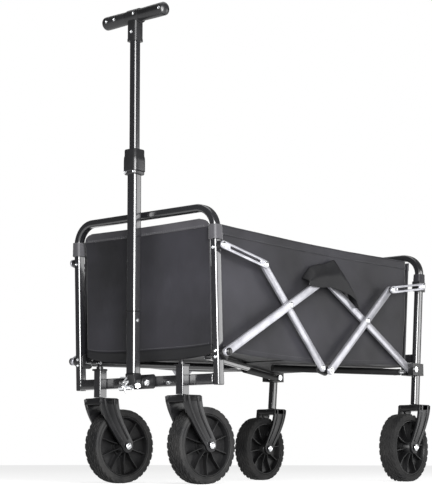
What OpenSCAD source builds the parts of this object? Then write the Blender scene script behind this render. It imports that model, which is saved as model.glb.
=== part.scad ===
// Folding camp wagon: two tube end frames joined by scissor bars, a fabric
// tub, a lifting floor, two swivel and two fixed wheels and a pull handle.
// Millimetres. The origin is on the ground under the middle of the wagon.
// Front is -X, the left side is -Y, up is +Z.

/* [Frame] */
// Length between the front faces of the front and rear end tubes at the crossbar
frame_length = 752; // [620:1:900]
// Width over the posts of the front end frame
front_width = 420; // [360:1:480]
// Width over the posts of the rear end frame
rear_width = 460; // [400:1:520]
// Height of the top of the front end frame
front_top_z = 594; // [500:1:680]
// Height of the top of the rear end frame
rear_top_z = 575; // [480:1:660]
// Forward lean of the front end frame in degrees
front_lean = 1.9; // [0:0.1:4]
// Rearward lean of the rear end frame in degrees
rear_lean = 5.6; // [0:0.1:8]
// Width of the end frame tube across the wagon
tube_width = 16; // [12:0.5:20]
// Depth of the end frame tube along the wagon
tube_depth = 21; // [16:0.5:26]
// Wall of every frame tube
tube_wall = 1.5; // [1:0.1:2.5]
// Centre line radius of the bends at the top of the end frames
bend_radius = 47; // [30:1:70]
// Height of the top of the front crossbar
crossbar_z = 232; // [215:1:250]
// Height of the front crossbar tube
crossbar_height = 23; // [18:0.5:30]

/* [Scissor bars] */
// Height of the lower pivots on the end frames
pivot_z = 276; // [262:1:290]
// Distance of the front lower pivot behind the front frame's face
pivot_inset = 10; // [6:0.5:16]
// Height of the centre joint under the flap
top_joint_z = 469; // [430:1:500]
// Width of the scissor bars
bar_width = 18; // [14:0.5:22]
// Thickness of the scissor bars
bar_thick = 8; // [5:0.5:9]
// Thickness of the stamped links from the bars to the end frames
link_thick = 4; // [2.5:0.5:5]
// Diameter of the rivets at the pivots
rivet_diameter = 8; // [6:0.5:10]

/* [Floor and tub] */
// Diameter of the floor frame tubes
floor_tube = 16; // [12:0.5:18]
// Thickness of the tub fabric as modelled
fabric = 2; // [1.5:0.1:3]
// Height of the top edge of the tub at its sides
tub_top_z = 550; // [500:1:570]

/* [Wheels] */
// Diameter of the tyres
wheel_diameter = 165; // [150:1:172]
// Width of the tyres
tyre_width = 44; // [36:1:48]
// Distance from the swivel axis back to the wheel axle
trail = 55; // [48:1:60]
// Distance of the front swivel axes from the middle of the wagon
caster_y = 120.5; // [105:0.5:135]
// Turn of the left front caster in degrees
swivel_left = -7; // [-20:1:20]
// Turn of the right front caster in degrees
swivel_right = -9; // [-20:1:20]
// Diameter of the wheel axles
axle_diameter = 10; // [8:0.5:12]

/* [Handle] */
// Width of the square outer handle tube
handle_tube = 25; // [22:0.5:30]
// Width of the square inner handle tube
inner_tube = 19; // [16:0.5:20]
// Height of the top of the handle collar
collar_z = 730; // [640:1:800]
// Height of the middle of the grip bar
grip_z = 1034; // [950:1:1120]
// Length of the grip bar
grip_length = 188; // [150:1:220]
// Diameter of the grip bar
grip_diameter = 30; // [26:0.5:36]

/* [Output] */
// Sub-part to draw, or all

/* [Hidden] */
$fn = 48;

black = [0.05, 0.05, 0.055];
steel = [0.72, 0.72, 0.74];
bar_grey = [0.55, 0.55, 0.58];
cloth = [0.17, 0.17, 0.19];
cloth_light = [0.42, 0.42, 0.45];
plastic = [0.07, 0.07, 0.075];
rubber = [0.11, 0.11, 0.115];

air = 0.3;          // gap between neighbours that move past each other
run = 0.05;         // radial clearance of a turning pin in its bore
snug = 0.02;        // gap between parts that are fixed together
post_corner = 2.2;  // outside corner radius of the end frame tube
head_thick = 2.5;   // thickness of a rivet head
sleeve_tall = 20;   // height of the fabric loops on the posts
wheel_r = wheel_diameter / 2;

front_out = front_width / 2;
front_in = front_out - tube_width;
rear_out = rear_width / 2;
rear_in = rear_out - tube_width;
cross_bottom = crossbar_z - crossbar_height;
mid_x = frame_length / 2 + 1.3;

// Layers of the scissor side, measured outward from the middle of the wagon
inner_y0 = front_out + 1.5;
inner_y1 = inner_y0 + bar_thick;
outer_y0 = inner_y1 + 1;
outer_y1 = outer_y0 + bar_thick;
link_front_y0 = outer_y0;
link_rear_y0 = max(rear_out + 2.5, outer_y1 + 4);
hub_y0 = inner_y0 - 5 - air;

// Pivots of the scissor side as [x, z]
front_pivot = [pivot_inset, pivot_z];
top_joint = [mid_x, top_joint_z];
rear_pivot = [2 * mid_x - pivot_inset, pivot_z];
hub_a = [mid_x - 8.3, pivot_z - 15];
hub_d = [mid_x + 10.7, pivot_z - 21];
link_a = [mid_x - 227.3, pivot_z + 199];
link_d = [mid_x + 266.7, pivot_z + 189];
post_mid = tube_depth / 2;
upper_front_z = pivot_z + 225.5;
upper_rear_z = pivot_z + 211;
upper_front = [post_mid - (upper_front_z - crossbar_z) * tan(front_lean), upper_front_z];
upper_rear = [frame_length + post_mid + (upper_rear_z - crossbar_z) * tan(rear_lean), upper_rear_z];
cross_ab = meeting(front_pivot, top_joint, hub_a, link_a);
cross_cd = meeting(rear_pivot, top_joint, hub_d, link_d);

// Floor frames: each is a V of tubes whose tips pass beside each other
floor_z = pivot_z - 6;
floor_inset = 24;
floor_gap = 40;
saddle_wall = 4;
tip_gap = 32;
floor_top = floor_z + floor_tube / 2 + air + fabric;
front_v_out = 166;
rear_v_out = front_v_out + 22;
front_v_tip = 16;
rear_v_tip = front_v_tip + 26;

fork_top = 188;
leg_bottom = fork_top + 2;
leg_width = 20;
leg_depth = 22;
leg_mid_x = -leg_depth / 2;
leg_top = crossbar_z + 17;
rear_leg_x = frame_length + post_mid - (crossbar_z - leg_bottom) * tan(rear_lean);
rear_wheel_y = rear_out - tube_width / 2;
fork_in = tyre_width / 2 + 3;
fork_out = fork_in + 6;
stem_diameter = 12;
stem_length = 36;

handle_x = -34;
handle_pivot_z = 216;
cheek_y = 30;
collar_wall = 5;
collar_band = 1.5;
collar_height = 56;
tube_start_z = handle_pivot_z + 22;
button_z = 352;

// Reach of the front and rear frames, to put the origin under the middle
front_reach = (front_top_z - crossbar_z) * sin(front_lean);
grip_reach = grip_diameter / 2 - handle_x;
collar_reach = handle_tube / 2 + collar_wall + collar_band - handle_x;
rear_reach = frame_length + tube_depth * cos(rear_lean) + (rear_top_z - crossbar_z) * sin(rear_lean);
front_most = max(front_reach, grip_reach, collar_reach);
origin_x = (rear_reach - front_most) / 2;

// Point where the line a-b meets the line c-d
function meeting(a, b, c, d) =
  let (r = b - a, s = d - c, w = c - a)
  a + r * ((w.x * s.y - w.y * s.x) / (r.x * s.y - r.y * s.x));

module place() {
  translate([-origin_x, 0, 0]) children();
}

module left_side() {
  mirror([0, 1, 0]) children();
}

module both_sides() {
  children();
  left_side() children();
}

module lean_front() {
  translate([0, 0, crossbar_z]) rotate([0, -front_lean, 0]) translate([0, 0, -crossbar_z]) children();
}

module lean_rear() {
  translate([frame_length, 0, crossbar_z]) rotate([0, rear_lean, 0])
    translate([0, 0, -crossbar_z]) children();
}

// A flat shape drawn in x and z, made solid from y0 to y1
module plate(y0, y1) {
  translate([0, y1, 0]) rotate([90, 0, 0]) linear_extrude(y1 - y0) children();
}

module pin(p, y0, y1, d) {
  plate(y0, y1) translate(p) circle(d = d);
}

module rounded(w, d, r) {
  square([w - 2 * r, d], center = true);
  square([w, d - 2 * r], center = true);
  for (i = [-1, 1], j = [-1, 1]) translate([i * (w / 2 - r), j * (d / 2 - r)]) circle(r = r);
}

module tube_section(w, d, r, wall) {
  difference() {
    rounded(w, d, r);
    square([w - 2 * wall, d - 2 * wall], center = true);
  }
}

// Upturned U of end frame tube; x starts at the front face of the tube
module end_u(outer, top, bottom) {
  straight = top - tube_width / 2 - bend_radius;
  side = outer - tube_width / 2;
  both_sides() {
    translate([post_mid, side, bottom]) linear_extrude(straight - bottom)
      tube_section(tube_depth, tube_width, post_corner, tube_wall);
    translate([post_mid, side - bend_radius, straight]) rotate([90, 0, 90])
      rotate_extrude(angle = 90) translate([bend_radius, 0])
        tube_section(tube_width, tube_depth, post_corner, tube_wall);
  }
  translate([post_mid, 0, straight + bend_radius]) rotate([90, 0, 0])
    linear_extrude(2 * (side - bend_radius), center = true)
      tube_section(tube_depth, tube_width, post_corner, tube_wall);
}

module front_frame() {
  color(black) place() lean_front() end_u(front_out, front_top_z, cross_bottom);
}

module front_crossbar() {
  color(black) place() translate([post_mid, 0, crossbar_z - crossbar_height / 2]) rotate([90, 0, 0])
    linear_extrude(2 * (front_in - air), center = true)
      tube_section(tube_depth, crossbar_height, post_corner, tube_wall);
}

module caster_legs() {
  color(black) place() both_sides() difference() {
    translate([leg_mid_x - snug, caster_y, leg_bottom]) linear_extrude(leg_top - leg_bottom)
      rounded(leg_depth, leg_width, post_corner);
    translate([leg_mid_x - snug, caster_y, leg_bottom - 1])
      cylinder(d = stem_diameter + 2 * run, h = stem_length + 2);
  }
}

module caster_caps() {
  cap = leg_depth + 4;
  color(plastic) place() both_sides() translate([leg_mid_x - 2, caster_y, leg_top + snug]) {
    linear_extrude(4) rounded(cap - 1, cap, 3);
    translate([0, 0, 4]) cylinder(d = 15, h = 5);
    translate([0, 0, 9]) cylinder(d1 = 11, d2 = 7, h = 5);
  }
}

// Plastic saddle round each front post, with a lug for the floor frame
module brackets_front() {
  color(plastic) place() both_sides() difference() {
    union() {
      translate([-5, front_in - saddle_wall, pivot_z - 18])
        cube([33, saddle_wall + outer_y0 - 1 - front_in, 36]);
      plate(front_in - saddle_wall, front_in - air) hull() {
        translate([floor_inset, floor_z]) circle(d = 24);
        translate([20, pivot_z + 8]) circle(d = 16);
      }
      plate(outer_y0 - 1, outer_y0 - air) translate(front_pivot) circle(d = bar_width);
    }
    lean_front() translate([post_mid, front_out - tube_width / 2, pivot_z - 30]) linear_extrude(60)
      rounded(tube_depth + 2 * air, tube_width + 2 * air, post_corner);
    pin(front_pivot, front_out - 1, outer_y0 + 1, rivet_diameter + 2 * run);
    pin([floor_inset, floor_z], front_in - 9, front_in, rivet_diameter + 2 * run);
  }
}

// Cups that hold the upper links on the front posts
module clips_front() {
  color(plastic) place() both_sides() translate([upper_front.x, 0, upper_front.y])
    rotate([0, -front_lean, 0]) difference() {
      translate([-15, front_in - 3, -12]) cube([29, link_front_y0 - air - front_in + 3, 24]);
      translate([-post_mid - air, front_in - air, -13]) cube([tube_depth + 2 * air, tube_width + 2 * air, 26]);
    }
}

module floor_pins(x, y0, y1) {
  both_sides() {
    pin([x, floor_z], y0, y1, rivet_diameter);
    pin([x, floor_z], y0 - head_thick, y0, rivet_diameter + 6);
  }
}

// Rivets held by the front brackets: scissor pivots and floor frame pivots
module rivets_front() {
  color(steel) place() {
    both_sides() {
      pin(front_pivot, front_out + 1, outer_y1 + air, rivet_diameter);
      pin(front_pivot, outer_y1 + air, outer_y1 + air + head_thick, rivet_diameter + 6);
    }
    floor_pins(floor_inset, front_v_out - 13, front_in - 1);
  }
}

// Front wall of the tub, hung inside the front end frame
module bag_front() {
  half = front_in - 5;
  base = pivot_z - 16;
  top = front_top_z - 32;
  color(cloth) place() lean_front() translate([post_mid - fabric / 2, 0, 0])
    rotate([90, 0, 90]) linear_extrude(fabric) difference() {
      translate([-half, base]) square([2 * half, top - base]);
      for (s = [-1, 1]) translate([s * half, top]) corner_cut(s, 24);
    }
}

// Square corner minus a quarter circle, to round a fabric corner
module corner_cut(s, r) {
  difference() {
    translate([s > 0 ? -r : -1, -r]) square([r + 1, r + 1]);
    translate([-s * r, -r]) circle(r = r);
  }
}

// Fabric loops that tie the tub to the posts
module sleeve(outer, z) {
  difference() {
    translate([post_mid, outer - tube_width / 2, z]) linear_extrude(sleeve_tall)
      rounded(tube_depth + 4, tube_width + 4, 4);
    translate([post_mid, outer - tube_width / 2, z - 1]) linear_extrude(sleeve_tall + 2)
      rounded(tube_depth + 2 * air, tube_width + 2 * air, post_corner);
  }
}

module sleeves_front() {
  color(cloth_light) place() lean_front() both_sides() sleeve(front_out, upper_front_z + 14);
}

module sleeves_rear() {
  color(cloth_light) place() lean_rear() both_sides() sleeve(rear_out, upper_rear_z + 15);
}

// Bracket on the crossbar that carries the pull handle
module handle_bracket() {
  reach = 48;
  color(plastic) place() difference() {
    union() {
      both_sides() plate(cheek_y, cheek_y + 6) {
        translate([-reach + 12, cross_bottom - 4]) square([reach - 12 - snug, crossbar_height + 8]);
        translate([handle_x, handle_pivot_z]) circle(d = 26);
      }
      translate([-6, -cheek_y - 1, cross_bottom - 4]) cube([6 - snug, 2 * cheek_y + 2, crossbar_height + 8]);
    }
    pin([handle_x, handle_pivot_z], -cheek_y - 8, cheek_y + 8, rivet_diameter + 2 * run);
  }
}

module tub_side() {
  turn = atan((rear_in - front_in - 12) / frame_length);
  length = frame_length - 24;
  base = floor_top - fabric;
  color(cloth) place() translate([20, front_in - 4.5, 0]) rotate([0, 0, turn])
    translate([0, -fabric, base]) cube([length, fabric, tub_top_z - base]);
}

module bag_side_left() {
  left_side() tub_side();
}

module bag_side_right() {
  tub_side();
}

module floor_cloth(x0, x1) {
  translate([x0, -front_in + 10, floor_top - fabric]) cube([x1 - x0, 2 * front_in - 20, fabric]);
}

module bag_floor_front() {
  color(cloth) place() floor_cloth(floor_inset + 8, mid_x - floor_gap);
}

module bag_floor_rear() {
  color(cloth) place() floor_cloth(mid_x + floor_gap, 2 * mid_x - floor_inset - 8);
}

module bag_floor_middle() {
  color(cloth) place() floor_cloth(mid_x - floor_gap + air, mid_x + floor_gap - air);
}

// Triangular covers sewn over the centre joints
module joint_flaps() {
  rise = tub_top_z - 38 - top_joint_z;
  y0 = outer_y1 + head_thick + 1;
  color(cloth) place() both_sides() {
    plate(y0, y0 + fabric) translate([mid_x - 5, top_joint_z])
      polygon([[-60, -22], [-4, rise], [28, rise + 14], [112, -40], [40, -24]]);
  }
}

// Scissor bar between two pivots with bores at the listed points
module bar(p, q, y0, thick, bores) {
  place() plate(y0, y0 + thick) difference() {
    hull() {
      translate(p) circle(d = bar_width);
      translate(q) circle(d = bar_width);
    }
    for (b = bores) translate(b) circle(d = rivet_diameter + 2 * run);
  }
}

module bar_a() {
  color(bar_grey) bar(hub_a, link_a, inner_y0, bar_thick, [hub_a, link_a, cross_ab]);
}

module bar_b() {
  color(bar_grey) bar(front_pivot, top_joint, outer_y0, bar_thick, [front_pivot, top_joint, cross_ab]);
}

module bar_c() {
  color(bar_grey) bar(rear_pivot, top_joint, inner_y0, bar_thick, [rear_pivot, top_joint, cross_cd]);
}

module bar_d() {
  color(bar_grey) bar(hub_d, link_d, outer_y0, bar_thick, [hub_d, link_d, cross_cd]);
}

module bar_a_left() {
  left_side() bar_a();
}

module bar_a_right() {
  bar_a();
}

module bar_b_left() {
  left_side() bar_b();
}

module bar_b_right() {
  bar_b();
}

module bar_c_left() {
  left_side() bar_c();
}

module bar_c_right() {
  bar_c();
}

module bar_d_left() {
  left_side() bar_d();
}

module bar_d_right() {
  bar_d();
}

// Rivet through two layers, with a head on each side
module rivet(p, y0, y1) {
  pin(p, y0 - air, y1 + air, rivet_diameter);
  pin(p, y0 - air - head_thick, y0 - air, rivet_diameter + 6);
  pin(p, y1 + air, y1 + air + head_thick, rivet_diameter + 6);
}

module rivets_b() {
  color(steel) place() both_sides() {
    rivet(cross_ab, inner_y0, outer_y1);
    rivet(top_joint, inner_y0, outer_y1);
  }
}

module rivets_a() {
  color(steel) place() both_sides() {
    pin(hub_a, hub_y0 - air, inner_y1, rivet_diameter);
    pin(hub_a, hub_y0 - air - head_thick, hub_y0 - air, rivet_diameter + 6);
    rivet(link_a, inner_y0, link_front_y0 + link_thick);
  }
}

module rivets_c() {
  color(steel) place() both_sides() rivet(cross_cd, inner_y0, outer_y1);
}

module rivets_d() {
  color(steel) place() both_sides() {
    rivet(hub_d, outer_y0, outer_y1);
    rivet(link_d, outer_y0, link_rear_y0 + link_thick);
    pin(link_d, outer_y1 + air, link_rear_y0 - air, bar_width - 3);
  }
}

// Plates that join the lower ends of bars A and D
module hub_plates() {
  color(plastic) place() both_sides() difference() {
    union() {
      plate(hub_y0, hub_y0 + 5) hull() {
        translate(hub_a) circle(d = bar_width + 8);
        translate(hub_d) circle(d = bar_width + 4);
      }
      plate(hub_y0, outer_y0 - 2 * air - head_thick) translate(hub_d + [4, -2]) circle(d = 11);
    }
    pin(hub_a, hub_y0 - 1, hub_y0 + 6, rivet_diameter + 2 * run);
  }
}

// Stamped link with a long slot
module link(p, q, y0) {
  run_xz = q - p;
  long = norm(run_xz);
  place() plate(y0, y0 + link_thick) difference() {
    union() {
      translate(p) circle(d = bar_width - 1);
      translate(q) circle(d = bar_width - 1);
      translate(p) rotate(atan2(run_xz.y, run_xz.x)) translate([0, -bar_width / 2 + 2])
        square([long, bar_width - 4]);
    }
    translate(q) circle(d = rivet_diameter + 2 * run);
    translate(p) rotate(atan2(run_xz.y, run_xz.x)) {
      translate([24, -3]) square([long - 48, 6]);
      translate([24, 0]) circle(d = 6);
      translate([long - 24, 0]) circle(d = 6);
    }
  }
}

module link_end(p, y0) {
  place() pin(p, y0 + link_thick - snug, y0 + link_thick + head_thick, rivet_diameter + 5);
}

module links_front() {
  color(steel) both_sides() {
    link(upper_front, link_a, link_front_y0);
    link_end(upper_front, link_front_y0);
  }
}

module links_rear() {
  color(steel) both_sides() {
    link(upper_rear, link_d, link_rear_y0);
    link_end(upper_rear, link_rear_y0);
  }
}

// One arm of a floor frame: an eye on the pivot and a tube to the middle
module floor_arm(x, y, tip_x, tip_y) {
  run_x = tip_x - x;
  run_y = tip_y - y;
  difference() {
    union() {
      pin([x, floor_z], y - 7, y + 9, floor_tube);
      translate([x, y, floor_z]) rotate([0, 90, atan2(run_y, run_x)])
        cylinder(d = floor_tube, h = norm([run_x, run_y]));
    }
    pin([x, floor_z], y - 30, y + 30, rivet_diameter + 2 * run);
  }
}

module floor_frame_front() {
  color(black) place() {
    both_sides() floor_arm(floor_inset, front_v_out, mid_x - tip_gap, front_v_tip);
    translate([mid_x - tip_gap - 40, -front_v_tip - 6, floor_z - 4])
      cube([40, 2 * front_v_tip + 12, 8]);
  }
}

module floor_frame_rear() {
  color(black) place() both_sides()
    floor_arm(2 * mid_x - floor_inset, rear_v_out, mid_x + tip_gap, rear_v_tip);
}

module rear_frame() {
  cross_z = pivot_z + 30;
  color(black) place() {
    difference() {
      lean_rear() end_u(rear_out, rear_top_z, leg_bottom - 10);
      translate([frame_length - 60, -rear_out - 1, leg_bottom - 40]) cube([120, 2 * rear_out + 2, 40]);
    }
    lean_rear() translate([post_mid, 0, cross_z]) rotate([90, 0, 0])
      linear_extrude(2 * rear_in + 1, center = true)
        tube_section(tube_depth, tube_depth, post_corner, tube_wall);
  }
}

// Plastic clevis on each rear post that holds the end of bar C
module brackets_rear() {
  front = rear_pivot.x - 12;
  back = frame_length + tube_depth + 9;
  low = pivot_z - 15;
  color(plastic) place() both_sides() difference() {
    union() {
      translate([front, rear_in - 14, low]) cube([back - front, 11.2, 30]);
      translate([back - 4, rear_in - 14, low]) cube([4, tube_width + 18.3, 30]);
      translate([frame_length - 4, rear_out + air, low]) cube([back - frame_length + 4, 4, 30]);
      translate([front, inner_y1 + air, low]) cube([frame_length - front - 1, rear_out + 4 - inner_y1, 30]);
    }
    lean_rear() translate([post_mid, rear_out - tube_width / 2, pivot_z - 30]) linear_extrude(60)
      rounded(tube_depth + 2 * air, tube_width + 2 * air, post_corner);
    pin(rear_pivot, rear_in - 15, rear_out + 5, rivet_diameter + 2 * run);
    pin([2 * mid_x - floor_inset, floor_z], rear_in - 15, rear_in, rivet_diameter + 2 * run);
  }
}

module clips_rear() {
  color(plastic) place() both_sides() translate([upper_rear.x, 0, upper_rear.y])
    rotate([0, rear_lean, 0]) difference() {
      translate([-14, rear_in - 3, -12]) cube([28, link_rear_y0 - air - rear_in + 3, 24]);
      translate([-post_mid - air, rear_in - air, -13]) cube([tube_depth + 2 * air, tube_width + 2 * air, 26]);
    }
}

module rivets_rear() {
  color(steel) place() {
    both_sides() {
      pin(rear_pivot, rear_in - 14, rear_out + 4 + snug, rivet_diameter);
      pin(rear_pivot, rear_out + 4 + air, rear_out + 4 + air + head_thick, rivet_diameter + 6);
      pin(rear_pivot, rear_out + 4, rear_out + 5, rivet_diameter);
    }
    floor_pins(2 * mid_x - floor_inset, rear_v_out - 13, rear_in - 4);
  }
}

module bag_rear() {
  half = rear_in - 15;
  base = floor_top - 4;
  color(cloth) place() lean_rear() translate([-fabric - 0.5, 0, 0])
    rotate([90, 0, 90]) linear_extrude(fabric)
      translate([-half, base]) square([2 * half, tub_top_z - base]);
}

// Caster fork drawn about its swivel axis, with the wheel towards +X
module fork() {
  difference() {
    union() {
      translate([-22, -fork_out, fork_top - 15]) cube([50, 2 * fork_out, 15]);
      translate([-22, 0, fork_top - 15]) cylinder(r = fork_out - 14, h = 15);
      both_sides() plate(fork_in, fork_out) {
        polygon([[-22, fork_top - 1], [28, fork_top - 1], [46, fork_top - 34], [trail + 15, wheel_r + 4],
          [trail + 8, wheel_r - 12], [trail - 9, wheel_r - 11], [8, fork_top - 46], [-22, fork_top - 16]]);
        translate([trail, wheel_r]) circle(r = 15);
      }
      both_sides() plate(fork_out - 1, fork_out + 3) for (i = [0, 1])
        polygon([[-12 + 17 * i, fork_top - 3], [-8 + 17 * i, fork_top - 3],
          [trail - 2 + 5 * i, wheel_r + 12], [trail - 6 + 5 * i, wheel_r + 12]]);
    }
    pin([trail, wheel_r], -fork_out - 5, fork_out + 5, axle_diameter + 2 * run);
  }
}

module fork_stem() {
  translate([0, 0, fork_top - 1]) cylinder(d = stem_diameter, h = stem_length + 1);
  translate([0, 0, fork_top - 1]) cylinder(d = 26, h = 2.6);
}

module at_front_caster(side, swivel) {
  place() translate([leg_mid_x - snug, side * caster_y, 0]) rotate([0, 0, swivel]) children();
}

module at_rear_caster(side) {
  place() translate([rear_leg_x, side * rear_wheel_y, 0]) rotate([0, 0, 180]) children();
}

module fork_front_left() {
  color(plastic) at_front_caster(-1, swivel_left) {
    fork();
    fork_stem();
  }
}

module fork_front_right() {
  color(plastic) at_front_caster(1, swivel_right) {
    fork();
    fork_stem();
  }
}

module forks_rear() {
  color(plastic) for (side = [-1, 1]) at_rear_caster(side) {
    fork();
    translate([0, 0, fork_top - 1]) cylinder(d = 26, h = 3 - snug);
  }
}

module at_axle() {
  translate([trail, 0, wheel_r]) rotate([90, 0, 0]) children();
}

module tyre() {
  half = tyre_width / 2;
  at_axle() rotate_extrude($fn = 96) difference() {
    union() {
      translate([wheel_r - 22, -half]) square([15, tyre_width]);
      translate([wheel_r - 22, -half + 7]) square([22, tyre_width - 14]);
      for (s = [-1, 1]) translate([wheel_r - 7, s * (half - 7)]) circle(r = 7);
    }
    translate([wheel_r - 23, -half + 8]) square([5, tyre_width - 16]);
  }
}

module wheel_hub() {
  rim_r = wheel_r - 22 - 2 * snug;
  half = tyre_width / 2;
  at_axle() difference() {
    union() {
      difference() {
        cylinder(r = rim_r, h = tyre_width - 2, center = true, $fn = 96);
        for (s = [0, 1]) mirror([0, 0, s]) translate([0, 0, 4])
          cylinder(r = rim_r - 5, h = half, $fn = 96);
      }
      cylinder(r = 15, h = 2 * fork_in - 1.6, center = true);
      for (i = [0 : 9]) rotate(36 * i) translate([0, -1.5, -half + 5])
        cube([rim_r - 4, 3, tyre_width - 10]);
      difference() {
        cylinder(r = rim_r + 4, h = tyre_width - 17, center = true, $fn = 96);
        cylinder(r = rim_r - 5, h = tyre_width, center = true, $fn = 96);
      }
    }
    cylinder(d = axle_diameter + 2 * run, h = 4 * fork_in, center = true);
  }
}

module axle() {
  head = fork_out + 3 + snug;
  at_axle() {
    cylinder(d = axle_diameter, h = 2 * head + 4, center = true);
    for (s = [0, 1]) mirror([0, 0, s]) translate([0, 0, head]) {
      cylinder(d = 20, h = 2);
      translate([0, 0, 2]) cylinder(d = 15, h = 4, $fn = 6);
    }
  }
}

module wheel_hub_front_left() {
  color(plastic) at_front_caster(-1, swivel_left) wheel_hub();
}

module wheel_hub_front_right() {
  color(plastic) at_front_caster(1, swivel_right) wheel_hub();
}

module wheel_hub_rear_left() {
  color(plastic) at_rear_caster(-1) wheel_hub();
}

module wheel_hub_rear_right() {
  color(plastic) at_rear_caster(1) wheel_hub();
}

module tyre_front_left() {
  color(rubber) at_front_caster(-1, swivel_left) tyre();
}

module tyre_front_right() {
  color(rubber) at_front_caster(1, swivel_right) tyre();
}

module tyre_rear_left() {
  color(rubber) at_rear_caster(-1) tyre();
}

module tyre_rear_right() {
  color(rubber) at_rear_caster(1) tyre();
}

module axle_front_left() {
  color(steel) at_front_caster(-1, swivel_left) axle();
}

module axle_front_right() {
  color(steel) at_front_caster(1, swivel_right) axle();
}

module axles_rear() {
  color(steel) for (side = [-1, 1]) at_rear_caster(side) axle();
}

// Handle pivot pin with its nut and the two spacers beside the handle foot
module handle_pin() {
  at = [handle_x, handle_pivot_z];
  color(steel) place() {
    pin(at, -cheek_y - 8, cheek_y + 8, rivet_diameter);
    both_sides() pin(at, handle_tube / 2 + 1.5, cheek_y - air, 16);
    pin(at, cheek_y + 6 + air, cheek_y + 9, 15);
    translate([handle_x, -cheek_y - 6 - air, handle_pivot_z]) rotate([90, 0, 0])
      cylinder(d = 15, h = 6, $fn = 6);
  }
}

module handle_foot() {
  half = handle_tube / 2;
  color(plastic) place() difference() {
    union() {
      plate(-half, half) {
        translate([handle_x, handle_pivot_z]) circle(r = half);
        translate([handle_x - half, handle_pivot_z]) square([handle_tube, tube_start_z - handle_pivot_z - snug]);
      }
      translate([handle_x, 0, tube_start_z - 1]) linear_extrude(24)
        square(handle_tube - 2 * tube_wall - 2 * snug, center = true);
    }
    pin([handle_x, handle_pivot_z], -half - 1, half + 1, rivet_diameter + 2 * run);
  }
}

module handle_tube_outer() {
  color(black) place() difference() {
    translate([handle_x, 0, tube_start_z]) linear_extrude(collar_z - 6 - tube_start_z)
      tube_section(handle_tube, handle_tube, 3, tube_wall);
    pin([handle_x, button_z], -handle_tube, -inner_tube / 2, rivet_diameter + 4 * run);
  }
}

module handle_collar() {
  wide = handle_tube + 2 * collar_wall;
  base = collar_z - collar_height;
  color(plastic) place() difference() {
    union() {
      translate([handle_x, 0, base]) linear_extrude(collar_height) rounded(wide, wide, 6);
      translate([handle_x, 0, base + 8]) linear_extrude(collar_height - 22) rounded(wide + 2 * collar_band, wide + 2 * collar_band, 7);
    }
    translate([handle_x, 0, base - 1]) linear_extrude(collar_height - 4)
      rounded(handle_tube + 2 * snug, handle_tube + 2 * snug, 3);
    translate([handle_x, 0, base]) linear_extrude(collar_height + 1)
      square(inner_tube + 2 * air, center = true);
  }
}

// Spring button in the side of the outer tube
module handle_button() {
  y = -handle_tube / 2;
  color(steel) place() {
    pin([handle_x, button_z], y - 1.4, y + 1.3, rivet_diameter);
    pin([handle_x, button_z], y - 2.4, y - 1.4, rivet_diameter - 2);
  }
}

module handle_tube_inner() {
  base = collar_z - 148;
  color(black) place() translate([handle_x, 0, base])
    linear_extrude(grip_z - 12 - base) tube_section(inner_tube, inner_tube, 2.5, tube_wall);
}

module handle_grip() {
  bore = inner_tube + 2 * snug;
  socket = inner_tube + 8;
  color(plastic) place() difference() {
    union() {
      pin([handle_x, grip_z], -grip_length / 2 + 5, grip_length / 2 - 5, grip_diameter);
      pin([handle_x, grip_z], -grip_length / 2, grip_length / 2, grip_diameter - 8);
      for (s = [-1, 1]) translate([handle_x, s * (grip_length / 2 - 5), grip_z]) rotate([90, 0, 0])
        rotate_extrude() translate([grip_diameter / 2 - 5, 0]) circle(r = 5);
      translate([handle_x, 0, grip_z - 58]) linear_extrude(58) rounded(socket, socket, 5);
    }
    translate([handle_x, 0, grip_z - 59]) linear_extrude(47 + snug) square(bore, center = true);
  }
}

front_frame();
front_crossbar();
caster_legs();
caster_caps();
brackets_front();
clips_front();
rivets_front();
bag_front();
sleeves_front();
handle_bracket();
bag_side_left();
bag_side_right();
bag_floor_middle();
joint_flaps();
bar_b_left();
bar_b_right();
rivets_b();
bar_a_left();
bar_a_right();
rivets_a();
bar_c_left();
bar_c_right();
rivets_c();
bar_d_left();
bar_d_right();
rivets_d();
hub_plates();
links_front();
links_rear();
floor_frame_front();
bag_floor_front();
floor_frame_rear();
bag_floor_rear();
rear_frame();
brackets_rear();
clips_rear();
rivets_rear();
bag_rear();
sleeves_rear();
forks_rear();
fork_front_left();
fork_front_right();
wheel_hub_front_left();
wheel_hub_front_right();
wheel_hub_rear_left();
wheel_hub_rear_right();
tyre_front_left();
tyre_front_right();
tyre_rear_left();
tyre_rear_right();
axle_front_left();
axle_front_right();
axles_rear();
handle_pin();
handle_foot();
handle_tube_outer();
handle_collar();
handle_button();
handle_tube_inner();
handle_grip();
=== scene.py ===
import bmesh
import bpy
import math
import random
from mathutils import Matrix, Vector, noise


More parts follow.
